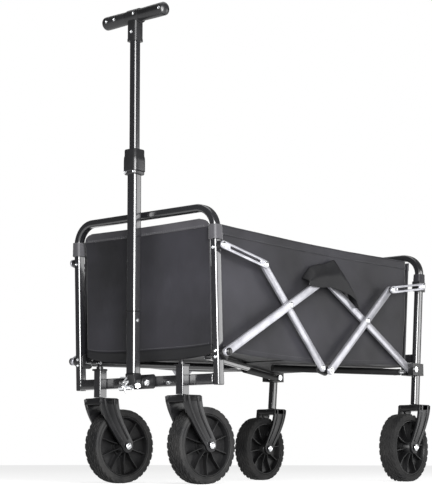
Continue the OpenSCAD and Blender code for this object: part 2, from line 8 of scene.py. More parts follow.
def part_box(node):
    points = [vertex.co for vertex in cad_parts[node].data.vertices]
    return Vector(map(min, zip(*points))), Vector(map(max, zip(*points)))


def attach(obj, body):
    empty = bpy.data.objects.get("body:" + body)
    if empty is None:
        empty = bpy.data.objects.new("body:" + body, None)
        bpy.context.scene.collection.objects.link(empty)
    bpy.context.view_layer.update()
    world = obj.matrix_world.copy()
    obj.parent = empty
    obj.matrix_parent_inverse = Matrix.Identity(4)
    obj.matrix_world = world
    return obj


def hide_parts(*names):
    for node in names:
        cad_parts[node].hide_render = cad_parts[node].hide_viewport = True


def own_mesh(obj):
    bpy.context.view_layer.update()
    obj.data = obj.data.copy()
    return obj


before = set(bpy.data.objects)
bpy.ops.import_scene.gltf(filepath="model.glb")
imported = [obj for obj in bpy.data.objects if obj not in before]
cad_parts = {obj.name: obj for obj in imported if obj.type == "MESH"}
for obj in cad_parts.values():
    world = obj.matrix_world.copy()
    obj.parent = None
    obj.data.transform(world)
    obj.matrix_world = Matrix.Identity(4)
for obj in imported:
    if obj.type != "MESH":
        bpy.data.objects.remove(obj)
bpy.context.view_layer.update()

# Lengths are in millimetres; x runs back from the crossbar's front face.
MM = 0.001
FRONT_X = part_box("front_crossbar")[0].x
CROSS_Z = 232
FRONT_LEAN = math.radians(1.9)
REAR_LEAN = math.radians(5.6)
REAR_X = 752
FRONT_HALF = 210
REAR_HALF = 230
TUBE_W = 16
TUBE_D = 21
MID_X = 377.3
PIVOT_Z = 276
INNER = (211.5, 219.5)
OUTER = (220.5, 228.5)
LINK_FRONT = (220.5, 224.5)
LINK_REAR = (232.5, 236.5)
BAR_R = 9
WHEEL_R = 82.5
TRAIL = 55
FORK_TOP = 188
HANDLE_X = -34
GRIP_Z = 1034
COLLAR_Z = 730
SIDES = (-1, 1)
WORDS = ("left", "right")

# End frames: top and foot heights, bend and corner radii.
FRONT_TOP_Z = 594
FRONT_FOOT_Z = 209
REAR_TOP_Z = 575
REAR_FOOT_Z = 190.5
BEND_R = 47
POST_CORNER = 4.6

# Tub cloth: front wall, side walls with their inward skirt, floor.
PANEL_TOP = 562
PANEL_BASE = 264
PANEL_HALF = 188
PANEL_CORNER = 26
WALL_TOP = 549
WALL_X = (16, 748)
SKIRT = 0.05
REAR_WALL_HALF = 198
REAR_WALL_BASE = 283
FLOOR_HALF = 185
FRONT_LOOP_Z = (514.6, 546)
REAR_LOOP_Z = (500, 521)
FLOOR_SPANS = {"front": (32, 337), "middle": (333, 421.6), "rear": (417.6, 722.6)}

# Wheels: rim lip radius, and degrees of resting spin per millimetre of x.
RIM_LIP_R = 66.4
SPIN_PER_MM = 37

# Handle: pivot height, tube sizes and the button's height.
HANDLE_PIVOT_Z = 216
OUTER_TUBE = 25
INNER_TUBE = 19
BUTTON_Z = 352

# Camera: place in millimetres, turn in degrees, lens in millimetres and lens shift.
CAMERA_PLACE = (-2262.2, -2052.6, 47.0)
CAMERA_TURN = (96.962, 0, -50.066)
CAMERA_LENS = 103.3
CAMERA_SHIFT = (0.0335, 0.0968)

# Softboxes in metres: name, place, aim, width, height and watts.
SOFTBOXES = (("key_softbox", (-1.9, -2.5, 1.0), (0, -0.1, 0.4), 3.0, 1.8, 230),
             ("front_softbox", (-0.9, -0.75, 0.55), (-0.38, -0.12, 0.42), 0.45, 0.6, 20),
             ("side_soft", (2.7, -2.5, 0.7), (0, -0.1, 0.4), 1.8, 1.8, 36),
             ("top_soft", (0.2, 0.2, 3.2), (0, 0, 0.3), 2.6, 2.6, 35))

FRONT_PIVOT = (10, 276)
TOP_JOINT = (MID_X, 469)
REAR_PIVOT = (744.6, 276)
HUB_A = (369, 261)
HUB_D = (388, 255)
LINK_A = (150, 475)
LINK_D = (644, 465)
UPPER_FRONT = (1.6, 501.5)
UPPER_REAR = (787.5, 487)

AHEAD = Vector((1, 0, 0))
ACROSS = Vector((0, 1, 0))
UP = Vector((0, 0, 1))


# ---------------------------------------------------------------- places

def at(x, y, z):
    """A point given in millimetres from the crossbar's front face."""
    return Vector((FRONT_X + x * MM, y * MM, z * MM))


def lean(point, base_x, angle):
    """Tips a point of an end frame about the crossbar height."""
    x, y, z = point
    rise = z - CROSS_Z
    off = x - base_x
    return (base_x + off * math.cos(angle) + rise * math.sin(angle), y,
            CROSS_Z + rise * math.cos(angle) - off * math.sin(angle))


def front_at(x, y, z):
    return at(*lean((x, y, z), 0, -FRONT_LEAN))


def rear_at(x, y, z):
    return at(*lean((REAR_X + x, y, z), REAR_X, REAR_LEAN))


def crossing(a, b, c, d):
    """Where the lines a-b and c-d meet, in the side plane."""
    r = (b[0] - a[0], b[1] - a[1])
    s = (d[0] - c[0], d[1] - c[1])
    w = (c[0] - a[0], c[1] - a[1])
    k = (w[0] * s[1] - w[1] * s[0]) / (r[0] * s[1] - r[1] * s[0])
    return (a[0] + k * r[0], a[1] + k * r[1])


CROSS_AB = crossing(FRONT_PIVOT, TOP_JOINT, HUB_A, LINK_A)
CROSS_CD = crossing(REAR_PIVOT, TOP_JOINT, HUB_D, LINK_D)


# ---------------------------------------------------------------- materials

def new_material(name, colour, roughness, **inputs):
    mat = bpy.data.materials.new(name)
    mat.use_nodes = True
    shader = mat.node_tree.nodes["Principled BSDF"]
    shader.inputs["Base Color"].default_value = (*colour, 1)
    shader.inputs["Roughness"].default_value = roughness
    for key, value in inputs.items():
        shader.inputs[key.replace("_", " ")].default_value = value
    return mat


def add(mat, kind, **values):
    node = mat.node_tree.nodes.new(kind)
    for key, value in values.items():
        if key in node.inputs:
            node.inputs[key].default_value = value
        else:
            setattr(node, key, value)
    return node


def join_nodes(mat, source, target):
    mat.node_tree.links.new(source, target)


def noise_at(mat, scale, detail=3.0, stretch=(1, 1, 1)):
    """Noise in object space; stretch squeezes it along an axis."""
    coords = add(mat, "ShaderNodeTexCoord")
    mapping = add(mat, "ShaderNodeMapping")
    mapping.inputs["Scale"].default_value = stretch
    texture = add(mat, "ShaderNodeTexNoise", Scale=scale, Detail=detail)
    join_nodes(mat, coords.outputs["Object"], mapping.inputs["Vector"])
    join_nodes(mat, mapping.outputs["Vector"], texture.inputs["Vector"])
    return texture.outputs["Fac"]


def ramp(mat, source, low, high, start=0.35, stop=0.65):
    """Maps a 0-1 value to two colours."""
    node = add(mat, "ShaderNodeValToRGB")
    ends = node.color_ramp.elements
    ends[0].position, ends[1].position = start, stop
    ends[0].color, ends[1].color = (*low, 1), (*high, 1)
    join_nodes(mat, source, node.inputs["Fac"])
    return node.outputs["Color"]


def spread(mat, source, low, high):
    node = add(mat, "ShaderNodeMapRange")
    node.inputs["To Min"].default_value = low
    node.inputs["To Max"].default_value = high
    join_nodes(mat, source, node.inputs["Value"])
    return node.outputs["Result"]


def bump(mat, height, strength, distance, before=None):
    node = add(mat, "ShaderNodeBump", Strength=strength, Distance=distance)
    join_nodes(mat, height, node.inputs["Height"])
    if before is not None:
        join_nodes(mat, before, node.inputs["Normal"])
    return node.outputs["Normal"]


def finish_surface(mat, colour=None, roughness=None, normal=None):
    shader = mat.node_tree.nodes["Principled BSDF"]
    for source, name in ((colour, "Base Color"), (roughness, "Roughness"), (normal, "Normal")):
        if source is not None:
            join_nodes(mat, source, shader.inputs[name])
    return mat


def edge_wear(mat, base, worn, radius):
    """Lightens rubbed edges, found where a rounded normal leaves the true one."""
    bevel = add(mat, "ShaderNodeBevel", Radius=radius)
    shape = add(mat, "ShaderNodeNewGeometry")
    dot = add(mat, "ShaderNodeVectorMath", operation="DOT_PRODUCT")
    join_nodes(mat, bevel.outputs["Normal"], dot.inputs[0])
    join_nodes(mat, shape.outputs["Normal"], dot.inputs[1])
    scratch = noise_at(mat, 300, 5)
    edge = add(mat, "ShaderNodeMath", operation="SUBTRACT")
    edge.inputs[0].default_value = 1.0
    join_nodes(mat, dot.outputs["Value"], edge.inputs[1])
    amount = add(mat, "ShaderNodeMath", operation="MULTIPLY")
    join_nodes(mat, edge.outputs[0], amount.inputs[0])
    join_nodes(mat, scratch, amount.inputs[1])
    return ramp(mat, amount.outputs[0], base, worn, 0.04, 0.2)


def powder_coat():
    mat = new_material("powder_coat_black", (0.010, 0.010, 0.011), 0.24, Coat_Weight=1.0, Coat_Roughness=0.07)
    grain = noise_at(mat, 120, 2)
    cloud = noise_at(mat, 14, 3)
    colour = edge_wear(mat, (0.006, 0.006, 0.007), (0.009, 0.009, 0.010), 0.0012)
    return finish_surface(mat, colour, spread(mat, cloud, 0.2, 0.3), bump(mat, grain, 0.006, 0.0002))


# The bars' grey metallic colour stands in for the side light reflected in black gloss paint: a painted
# reflection.
def bar_painted_reflection_coat():
    mat = new_material("bar_grey_painted_reflection", (0.3, 0.3, 0.32), 0.3, Metallic=0.75, Coat_Weight=0.2)
    streak = noise_at(mat, 60, 4, (1, 1, 6))
    cloud = noise_at(mat, 30, 3)
    grain = noise_at(mat, 1200, 2)
    colour = ramp(mat, cloud, (0.26, 0.26, 0.285), (0.38, 0.38, 0.405), 0.3, 0.7)
    return finish_surface(mat, colour, spread(mat, streak, 0.26, 0.44), bump(mat, grain, 0.06, 0.0003))


def bright_metal():
    mat = new_material("zinc_steel", (0.75, 0.76, 0.78), 0.24, Metallic=1.0)
    brushed = noise_at(mat, 220, 4, (1, 8, 1))
    cloud = noise_at(mat, 50, 3)
    colour = ramp(mat, cloud, (0.62, 0.63, 0.65), (0.86, 0.87, 0.88), 0.3, 0.7)
    return finish_surface(mat, colour, spread(mat, brushed, 0.16, 0.34), bump(mat, brushed, 0.1, 0.0003))


def moulded(name, colour, rough, grain_scale=700, shine=0.5):
    mat = new_material(name, colour, rough, Specular_IOR_Level=shine)
    grain = noise_at(mat, grain_scale, 3)
    cloud = noise_at(mat, 18, 4)
    low = tuple(c * 0.75 for c in colour)
    high = tuple(c * 1.5 for c in colour)
    tint = ramp(mat, cloud, low, high)
    gloss = spread(mat, cloud, rough - 0.07, rough + 0.1)
    return finish_surface(mat, tint, gloss, bump(mat, grain, 0.22, 0.0004))


def foam_rubber():
    mat = new_material("tyre_foam_rubber", (0.01, 0.01, 0.0105), 0.62, Specular_IOR_Level=0.16)
    pores = noise_at(mat, 500, 6)
    dust = noise_at(mat, 22, 5)
    scuff = noise_at(mat, 90, 4)
    colour = ramp(mat, dust, (0.006, 0.006, 0.0063), (0.014, 0.0138, 0.0136))
    first = bump(mat, scuff, 0.12, 0.0012)
    return finish_surface(mat, colour, spread(mat, dust, 0.55, 0.78), bump(mat, pores, 0.3, 0.0005, first))


def woven(name, dark, light, thread, sheen):
    """Plain weave from the piece's own UVs, which run in metres."""
    mat = new_material(name, light, 0.55, Sheen_Weight=sheen, Sheen_Roughness=0.35, Specular_IOR_Level=0.24)
    uv = add(mat, "ShaderNodeUVMap")
    parts = add(mat, "ShaderNodeSeparateXYZ")
    join_nodes(mat, uv.outputs["UV"], parts.inputs["Vector"])
    waves = []
    for axis in ("X", "Y"):
        scaled = add(mat, "ShaderNodeMath", operation="MULTIPLY")
        scaled.inputs[1].default_value = 2 * math.pi / thread
        join_nodes(mat, parts.outputs[axis], scaled.inputs[0])
        wave = add(mat, "ShaderNodeMath", operation="SINE")
        join_nodes(mat, scaled.outputs[0], wave.inputs[0])
        waves.append(wave.outputs[0])
    cross = add(mat, "ShaderNodeMath", operation="MULTIPLY")
    join_nodes(mat, waves[0], cross.inputs[0])
    join_nodes(mat, waves[1], cross.inputs[1])
    height = spread(mat, cross.outputs[0], 0, 1)
    cloud = noise_at(mat, 6, 5)
    slub = noise_at(mat, 420, 3)
    colour = ramp(mat, cloud, dark, light, 0.3, 0.7)
    crease = bump(mat, noise_at(mat, 30, 5), 0.10, 0.004)
    return finish_surface(mat, colour, spread(mat, slub, 0.42, 0.62), bump(mat, height, 0.25, 0.0004, crease))


POWDER = powder_coat()
BAR_PAINTED_REFLECTION = bar_painted_reflection_coat()
STEEL = bright_metal()
PLASTIC = moulded("moulded_plastic", (0.004, 0.004, 0.0044), 0.3, shine=0.36)
GRIP_PLASTIC = moulded("grip_plastic", (0.006, 0.006, 0.0065), 0.28, 500)
RIM_PLASTIC = moulded("rim_plastic", (0.003, 0.003, 0.0032), 0.36, shine=0.25)
RUBBER = foam_rubber()
CLOTH = woven("cloth_black", (0.0045, 0.0044, 0.0053), (0.0145, 0.0141, 0.0175), 0.0011, 0.1)
# A darker copy of the black cloth for the tub's underside, skirts, bottom band and joint covers: its darkness
# is painted shade.
CLOTH_SHADED = woven("cloth_painted_shade", (0.0035, 0.0035, 0.004), (0.007, 0.007, 0.0078), 0.0011, 0.0)
# A lighter copy of the black cloth for the front sleeves, standing in for the light falling on them: painted
# light.
SLEEVE_CLOTH_PAINTED_LIGHT = woven("sleeve_tape_painted_light", (0.022, 0.0215, 0.024), (0.05, 0.049, 0.053), 0.0022, 0.2)
HEM = woven("hem_tape", (0.014, 0.0136, 0.0155), (0.036, 0.035, 0.039), 0.0022, 0.2)
# A darker, matt copy of the black powder coat for the rear floor frame under the tub: its darker colour is
# painted shade.
FRAME_MATT_PAINTED_SHADE = moulded("frame_matt_painted_shade", (0.004, 0.004, 0.0042), 0.6, shine=0.2)
THREAD = moulded("sewing_thread", (0.085, 0.085, 0.09), 0.6)


# ---------------------------------------------------------------- mesh tools

def new_object(name, data):
    obj = bpy.data.objects.new(name, data)
    bpy.context.scene.collection.objects.link(obj)
    return obj


def make(name, points, faces, material, smooth=True):
    """A mesh object with clean outward normals; it rides on nothing yet."""
    mesh = bpy.data.meshes.new(name)
    mesh.from_pydata([tuple(p) for p in points], [], faces)
    mesh.validate()
    obj = new_object(name, mesh)
    mesh.materials.append(material)
    clean_normals(mesh)
    if smooth:
        shade(obj)
    return obj


def settle(obj, body, replaces=()):
    """Hands a finished piece to its body."""
    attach(obj, body)
    if replaces:
        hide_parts(*replaces)


def clean_normals(mesh):
    bm = bmesh.new()
    bm.from_mesh(mesh)
    bmesh.ops.remove_doubles(bm, verts=bm.verts, dist=1e-6)
    bmesh.ops.recalc_face_normals(bm, faces=bm.faces)
    bm.to_mesh(mesh)
    bm.free()


def shade(obj, angle=35):
    """Smooth shading with hard edges kept above the angle."""
    for polygon in obj.data.polygons:
        polygon.use_smooth = True
    bm = bmesh.new()
    bm.from_mesh(obj.data)
    for edge in bm.edges:
        sharp = len(edge.link_faces) == 2 and edge.calc_face_angle(0) > math.radians(angle)
        edge.smooth = not sharp
    bm.to_mesh(obj.data)
    bm.free()


def apply_modifiers(obj):
    graph = bpy.context.evaluated_depsgraph_get()
    mesh = bpy.data.meshes.new_from_object(obj.evaluated_get(graph))
    obj.modifiers.clear()
    obj.data = mesh


def rounded_edges(obj, width, segments=2):
    mod = obj.modifiers.new("edges", "BEVEL")
    mod.width = width * MM
    mod.segments = segments
    mod.limit_method = "ANGLE"
    mod.angle_limit = math.radians(40)
    apply_modifiers(obj)
    shade(obj, 50)
    return obj


def merged(name, objects, body=None, replaces=()):
    """Joins finished meshes, keeping each one's material, in the row frame."""
    bm = bmesh.new()
    slots = []
    for obj in objects:
        start = len(bm.faces)
        bm.from_mesh(obj.data)
        bm.faces.ensure_lookup_table()
        used = [m for m in obj.data.materials]
        for face in bm.faces[start:]:
            material = used[min(face.material_index, len(used) - 1)]
            if material not in slots:
                slots.append(material)
            face.material_index = slots.index(material)
    mesh = bpy.data.meshes.new(name)
    bm.to_mesh(mesh)
    bm.free()
    for material in slots:
        mesh.materials.append(material)
    for obj in objects:
        old = obj.data
        bpy.data.objects.remove(obj)
        bpy.data.meshes.remove(old)
    result = new_object(name, mesh)
    if body:
        settle(result, body, replaces)
    return result


def rounded_section(width, depth, radius, steps=5):
    """A rounded rectangle as points, width first."""
    points = []
    for k, (sx, sy) in enumerate(((1, 1), (-1, 1), (-1, -1), (1, -1))):
        for i in range(steps + 1):
            a = math.radians(90 * k + 90 * i / steps)
            points.append((sx * (width / 2 - radius) + radius * math.cos(a),
                           sy * (depth / 2 - radius) + radius * math.sin(a)))
    return points


def round_section(radius, steps):
    """A round wire or bead section."""
    turns = [math.radians(360 / steps * i) for i in range(steps)]
    return [(radius * math.cos(a), radius * math.sin(a)) for a in turns]


def loft_faces(rings, count, capped=True):
    """Quads between closed rings of points, with an end cap at each end."""
    faces = []
    for i in range(rings - 1):
        for j in range(count):
            k = (j + 1) % count
            faces.append((i * count + j, i * count + k, (i + 1) * count + k, (i + 1) * count + j))
    if capped:
        faces.append(tuple(range(count)))
        faces.append(tuple((rings - 1) * count + j for j in range(count)))
    return faces


def tube(name, path, section, material, up, closed_ends=True):
    """Sweeps a section along points in the row frame; up fixes its first axis."""
    rings = []
    for i, point in enumerate(path):
        before = path[max(i - 1, 0)]
        after = path[min(i + 1, len(path) - 1)]
        along = (after - before).normalized()
        side = up.cross(along).normalized()
        lift = along.cross(side)
        rings.append([point + side * (a * MM) + lift * (b * MM) for a, b in section])
    points = [p for ring in rings for p in ring]
    return make(name, points, loft_faces(len(rings), len(section), closed_ends), material)


def lathe(name, profile, centre, axis, material, steps=48):
    """Turns (radius, height) points, in millimetres, about an axis."""
    axis = Vector(axis).normalized()
    side = axis.orthogonal().normalized()
    across = axis.cross(side)
    points = []
    for i in range(steps):
        a = 2 * math.pi * i / steps
        way = side * math.cos(a) + across * math.sin(a)
        points += [centre + way * (r * MM) + axis * (h * MM) for r, h in profile]
    count = len(profile)
    faces = []
    for i in range(steps):
        k = (i + 1) % steps
        for j in range(count - 1):
            faces.append((i * count + j, k * count + j, k * count + j + 1, i * count + j + 1))
    if profile[0][0] > 0 and profile[0] != profile[-1]:
        faces.append(tuple(i * count for i in range(steps)))
    if profile[-1][0] > 0 and profile[0] != profile[-1]:
        faces.append(tuple(i * count + count - 1 for i in range(steps)))
    return make(name, points, faces, material)


def slab(name, outline, y0, y1, material, edge=0.6, holes=()):
    """A side-plane outline in millimetres made solid from y0 to y1."""
    bm = bmesh.new()
    loops = [outline, *holes]
    for loop in loops:
        verts = [bm.verts.new(at(x, y0, z)) for x, z in loop]
        for i, v in enumerate(verts):
            bm.edges.new((v, verts[(i + 1) % len(verts)]))
    bmesh.ops.triangle_fill(bm, use_beauty=True, edges=bm.edges[:])
    bmesh.ops.dissolve_limit(bm, angle_limit=0.01, verts=bm.verts[:], edges=bm.edges[:])
    made = bmesh.ops.extrude_face_region(bm, geom=bm.faces[:])
    moved = [v for v in made["geom"] if isinstance(v, bmesh.types.BMVert)]
    bmesh.ops.translate(bm, vec=(0, (y1 - y0) * MM, 0), verts=moved)
    bmesh.ops.recalc_face_normals(bm, faces=bm.faces)
    mesh = bpy.data.meshes.new(name)
    bm.to_mesh(mesh)
    bm.free()
    mesh.materials.append(material)
    obj = new_object(name, mesh)
    return rounded_edges(obj, edge)


def block(name, corner, size, material, edge=1.0):
    """A box from its lowest corner in millimetres, with rounded edges."""
    x, y, z = corner
    w, d, h = size
    outline = [(x, z), (x + w, z), (x + w, z + h), (x, z + h)]
    return slab(name, outline, y, y + d, material, edge)


def mirrored(side, low, high):
    """The y range of a layer on one side of the wagon."""
    return (low, high) if side > 0 else (-high, -low)


def rivet_head(name, x, z, y, side, radius=7, height=2.6, material=None):
    """A domed head whose flat lies at |y| and whose dome points outward."""
    profile = [(radius * 1.0, 0)]
    for i in range(7):
        a = math.radians(15 * i)
        profile.append((radius * math.cos(a) * 0.96, 0.5 + (height - 0.5) * math.sin(a)))
    profile[-1] = (0.0, height)
    return lathe(name, profile, at(x, side * y, z), (0, side, 0), material or STEEL, 28)


def hex_nut(name, centre, axis, radius, height, material):
    """A hexagon nut with a chamfer and the pin's end standing out."""
    axis = Vector(axis).normalized()
    nut = lathe(name + "_body", [(radius * 0.8, 0), (radius, 0.6), (radius, height - 0.8),
                (radius * 0.86, height)], centre, axis, material, 6)
    shade(nut, 10)
    stub = lathe(name + "_stub", [(radius * 0.5, height - 0.1), (radius * 0.5, height + 1.2),
                 (radius * 0.4, height + 1.6), (0, height + 1.6)], centre, axis, material, 20)
    return merged(name, [nut, stub])


# ---------------------------------------------------------------- end frames

def u_path(half, top, bottom, place):
    """The centre line of an end frame, from the left foot to the right."""
    side = half - TUBE_W / 2
    straight = top - TUBE_W / 2 - BEND_R
    mid = TUBE_D / 2
    left = [place(mid, -side, z) for z in (bottom, (bottom + straight) / 2, straight)]
    for i in range(1, 13):
        a = math.radians(7.5 * i)
        left.append(place(mid, -side + BEND_R * (1 - math.cos(a)), straight + BEND_R * math.sin(a)))
    right = [place(mid, side, z) for z in (straight, (bottom + straight) / 2, bottom)]
    bend = []
    for i in range(11, -1, -1):
        a = math.radians(7.5 * i)
        bend.append(place(mid, side - BEND_R * (1 - math.cos(a)), straight + BEND_R * math.sin(a)))
    centre = [place(mid, 0, straight + BEND_R)]
    edge = [place(mid, side - BEND_R, straight + BEND_R)]
    return left + centre + edge + bend + right[1:]


def end_frame(name, half, top, bottom, place, body, node):
    section = rounded_section(TUBE_W, TUBE_D, POST_CORNER, 7)
    path = u_path(half, top, bottom, place)
    frame_tube = tube(name, path, section, POWDER, AHEAD)
    settle(frame_tube, body, (node,))
    return frame_tube


def foot_plugs(name, half, bottom, place, body):
    plugs = []
    for side in SIDES:
        centre = place(TUBE_D / 2, side * (half - TUBE_W / 2), bottom)
        section = [(a * 0.9, b * 0.9) for a, b in rounded_section(TUBE_W, TUBE_D, 3.4)]
        path = [centre + Vector((0, 0, h * MM)) for h in (-1.4, -1.0, 1.5)]
        plugs.append(tube(f"{name}_{side}", path, section, PLASTIC, AHEAD))
    return merged(name, plugs, body, ())


def weld_bead(name, points, body, radius=1.6):
    """A rippled bead that follows points along a joint."""
    rng = random.Random(name)
    path = []
    for a, b in zip(points, points[1:]):
        steps = max(2, int((b - a).length / (1.6 * MM)))
        path += [a.lerp(b, i / steps) for i in range(steps)]
    path.append(points[-1])
    wobble = [p + Vector([rng.uniform(-0.25, 0.25) * MM for _ in range(3)]) for p in path]
    bead = tube(name, wobble, round_section(radius, 8), POWDER, Vector((0.3, 0.5, 0.8)))
    settle(bead, body)
    return bead


def front_end():
    end_frame("front_u_tube", FRONT_HALF, FRONT_TOP_Z, FRONT_FOOT_Z, front_at, "front_frame", "front_frame")
    foot_plugs("front_foot_plugs", FRONT_HALF, FRONT_FOOT_Z, front_at, "front_frame")
    path = [at(TUBE_D / 2, y, CROSS_Z - 11.5) for y in (-193.8, 0, 193.8)]
    bar = tube("front_cross_tube", path, rounded_section(TUBE_D, 23, 3.2), POWDER, UP)
    settle(bar, "front_frame", ("front_crossbar",))
    for side in SIDES:
        y = side * 193.2
        corners = [at(1.2, y, 211), at(-0.2, y, 213), at(-0.2, y, 228), at(1.2, y, 231.4), at(19, y, 231.8)]
        weld_bead(f"crossbar_weld_{'left' if side < 0 else 'right'}", corners, "front_frame")


def rear_end():
    end_frame("rear_u_tube", REAR_HALF, REAR_TOP_Z, REAR_FOOT_Z, rear_at, "rear_frame", "rear_frame")
    path = [rear_at(TUBE_D / 2, y, PIVOT_Z + 30) for y in (-213.5, 0, 213.5)]
    tie = tube("rear_cross_tube", path, rounded_section(TUBE_D, TUBE_D, 3.2), POWDER, UP)
    settle(tie, "rear_frame", ())


# ---------------------------------------------------------------- scissor sides

def stadium(p, q, radius, steps=14):
    """The outline of a round-ended bar."""
    turn = math.atan2(q[1] - p[1], q[0] - p[0])
    points = []
    for centre, start in ((q, turn - math.pi / 2), (p, turn + math.pi / 2)):
        for i in range(steps + 1):
            a = start + math.pi * i / steps
            points.append((centre[0] + radius * math.cos(a), centre[1] + radius * math.sin(a)))
    return points


def bar_piece(name, p, q, layer, side, body, node):
    y0, y1 = mirrored(side, *layer)
    bar = slab(name, stadium(p, q, BAR_R), y0, y1, BAR_PAINTED_REFLECTION, 1.3)
    settle(bar, body, (node,))


def pressed_link(name, p, q, layer, side):
    """A stamped link: a flat stadium with a raised rim round a long slot."""
    y0, y1 = mirrored(side, *layer)
    turn = math.atan2(q[1] - p[1], q[0] - p[0])
    a = (p[0] + 24 * math.cos(turn), p[1] + 24 * math.sin(turn))
    b = (q[0] - 24 * math.cos(turn), q[1] - 24 * math.sin(turn))
    hole = stadium(a, b, 3, 8)
    plate = slab(name + "_plate", stadium(p, q, 8.5), y0, y1, BAR_PAINTED_REFLECTION, 0.9, [hole])
    out = y1 if side > 0 else y0
    rim_points = stadium(a, b, 4.4, 8)
    path = [at(x, out, z) for x, z in rim_points + rim_points[:2]]
    rim = tube(name + "_rim", path, round_section(1.1, 6), BAR_PAINTED_REFLECTION, ACROSS, False)
    return [plate, rim]


def links(name, p, q, layer, body, node):
    parts = []
    for side in SIDES:
        parts += pressed_link(f"{name}_{side}", p, q, layer, side)
        parts.append(rivet_head(f"{name}_head_{side}", p[0], p[1], layer[1], side, 6.4, 2.4))
    merged(name, parts, body, (node,))


def rivet_set(name, spots, body, node):
    """Rivets given as (x, z, inner |y|, outer |y|), on both sides."""
    parts = []
    for index, (x, z, low, high) in enumerate(spots):
        for side in SIDES:
            tag = f"{name}_{index}_{side}"
            parts.append(rivet_head(tag + "_out", x, z, high, side))
            parts.append(rivet_head(tag + "_in", x, z, -low, -side))
            shank = [(4, low - 0.2), (4, high + 0.2)]
            parts.append(lathe(tag + "_pin", shank, at(x, 0, z), (0, side, 0), STEEL, 16))
    merged(name, parts, body, (node,))


def washer_ring(x, z, y, side, inner, outer, thick, material):
    profile = [(inner, 0), (outer - 0.4, 0), (outer, 0.4), (outer, thick - 0.4), (outer - 0.4, thick),
               (inner, thick), (inner, 0)]
    return lathe(f"ring_{x:.0f}_{z:.0f}_{side}", profile, at(x, side * y, z), (0, side, 0), material, 32)


def scissors():
    pairs = (("a", HUB_A, LINK_A, INNER), ("b", FRONT_PIVOT, TOP_JOINT, OUTER),
             ("c", REAR_PIVOT, TOP_JOINT, INNER), ("d", HUB_D, LINK_D, OUTER))
    for letter, p, q, layer in pairs:
        for side, word in zip(SIDES, WORDS):
            node = f"bar_{letter}_{word}"
            bar_piece(f"scissor_{letter}_{word}", p, q, layer, side, f"bars_{letter}", node)
    links("upper_links_front", UPPER_FRONT, LINK_A, LINK_FRONT, "links_front", "links_front")
    links("upper_links_rear", UPPER_REAR, LINK_D, LINK_REAR, "links_rear", "links_rear")
    rivet_set("rivet_pairs_b", [(*CROSS_AB, 211.2, 228.8), (*TOP_JOINT, 211.2, 228.8)], "bars_b", "rivets_b")
    rivet_set("rivet_pairs_a", [(*HUB_A, 205.9, 219.3), (*LINK_A, 211.2, 224.8)], "bars_a", "rivets_a")
    rivet_set("rivet_pairs_c", [(*CROSS_CD, 211.2, 228.8)], "bars_c", "rivets_c")
    rivet_set("rivet_pairs_d", [(*HUB_D, 220.2, 228.8), (*LINK_D, 220.2, 236.8)], "bars_d", "rivets_d")
    rings = [washer_ring(*HUB_D, 228.4, side, 5, 8.2, 1.0, STEEL) for side in SIDES]
    rings += [washer_ring(*LINK_D, 228.6, side, 4, 7.5, 3.6, PLASTIC) for side in SIDES]
    merged("bar_end_rings", rings, "bars_d")


def centre_hubs():
    parts = []
    for side in SIDES:
        y0, y1 = mirrored(side, 206.2, 211.2)
        web = hull_outline([(HUB_A, 13), (HUB_D, 11)])
        parts.append(slab(f"hub_{side}", web, y0, y1, PLASTIC, 1.2))
        parts.append(lathe(f"hub_post_{side}", [(5.5, 211), (5.5, 217), (4.5, 217.4)],
                           at(HUB_D[0] + 4, 0, HUB_D[1] - 2), (0, side, 0), PLASTIC, 24))
    merged("centre_hub_plates", parts, "centre_hubs", ("hub_plates",))


def hull_outline(circles, steps=40):
    """The convex outline round circles given as ((x, z), radius)."""
    points = []
    for (x, z), r in circles:
        for i in range(steps):
            a = 2 * math.pi * i / steps
            points.append((x + r * math.cos(a), z + r * math.sin(a)))
    points.sort()
    return half_hull(points)[:-1] + half_hull(points[::-1])[:-1]


def half_hull(points):
    line = []
    for p in points:
        while len(line) > 1:
            (ax, az), (bx, bz) = line[-2], line[-1]
            if (bx - ax) * (p[1] - az) - (bz - az) * (p[0] - ax) > 1e-9:
                break
            line.pop()
        line.append(p)
    return line


# ---------------------------------------------------------------- wheels

def tyre_mesh(name):
    """A foam tyre about Y with a rim lip and staggered chevron blocks."""
    base = WHEEL_R - 2.2
    profile = [(RIM_LIP_R, -17), (66.8, -20.4), (68.4, -21.6), (70.2, -21.2), (71.4, -20.6), (73.4, -21.4),
               (76.4, -21), (79.2, -19.2), (base, -15.5), (base + 0.5, 0), (base, 15.5), (79.2, 19.2),
               (76.4, 21), (73.4, 21.4), (71.4, 20.6), (70.2, 21.2), (68.4, 21.6), (66.8, 20.4),
               (RIM_LIP_R, 17), (RIM_LIP_R, -17)]
    origin = Vector((0, 0, 0))
    carcass = lathe(name + "_carcass", profile, origin, (0, 1, 0), RUBBER, 96)
    blocks = tread_blocks(name + "_tread", base)
    return merged(name, [carcass, blocks])


def tread_blocks(name, base, count=30):
    points = []
    faces = []
    for row, (low, high) in enumerate(((-20.2, -11), (-9.6, -0.8), (0.8, 9.6), (11, 20.2))):
        outer_row = row in (0, 3)
        slant = math.radians(5.5) * (1 if row < 2 else -1)
        for i in range(count):
            middle = 2 * math.pi * (i + 0.5 * (row % 2)) / count
            half_turn = math.radians(4.1 if outer_row else 3.6)
            add_block(points, faces, base, middle, half_turn, slant, low, high, outer_row)
    return make(name, points, faces, RUBBER, smooth=False)


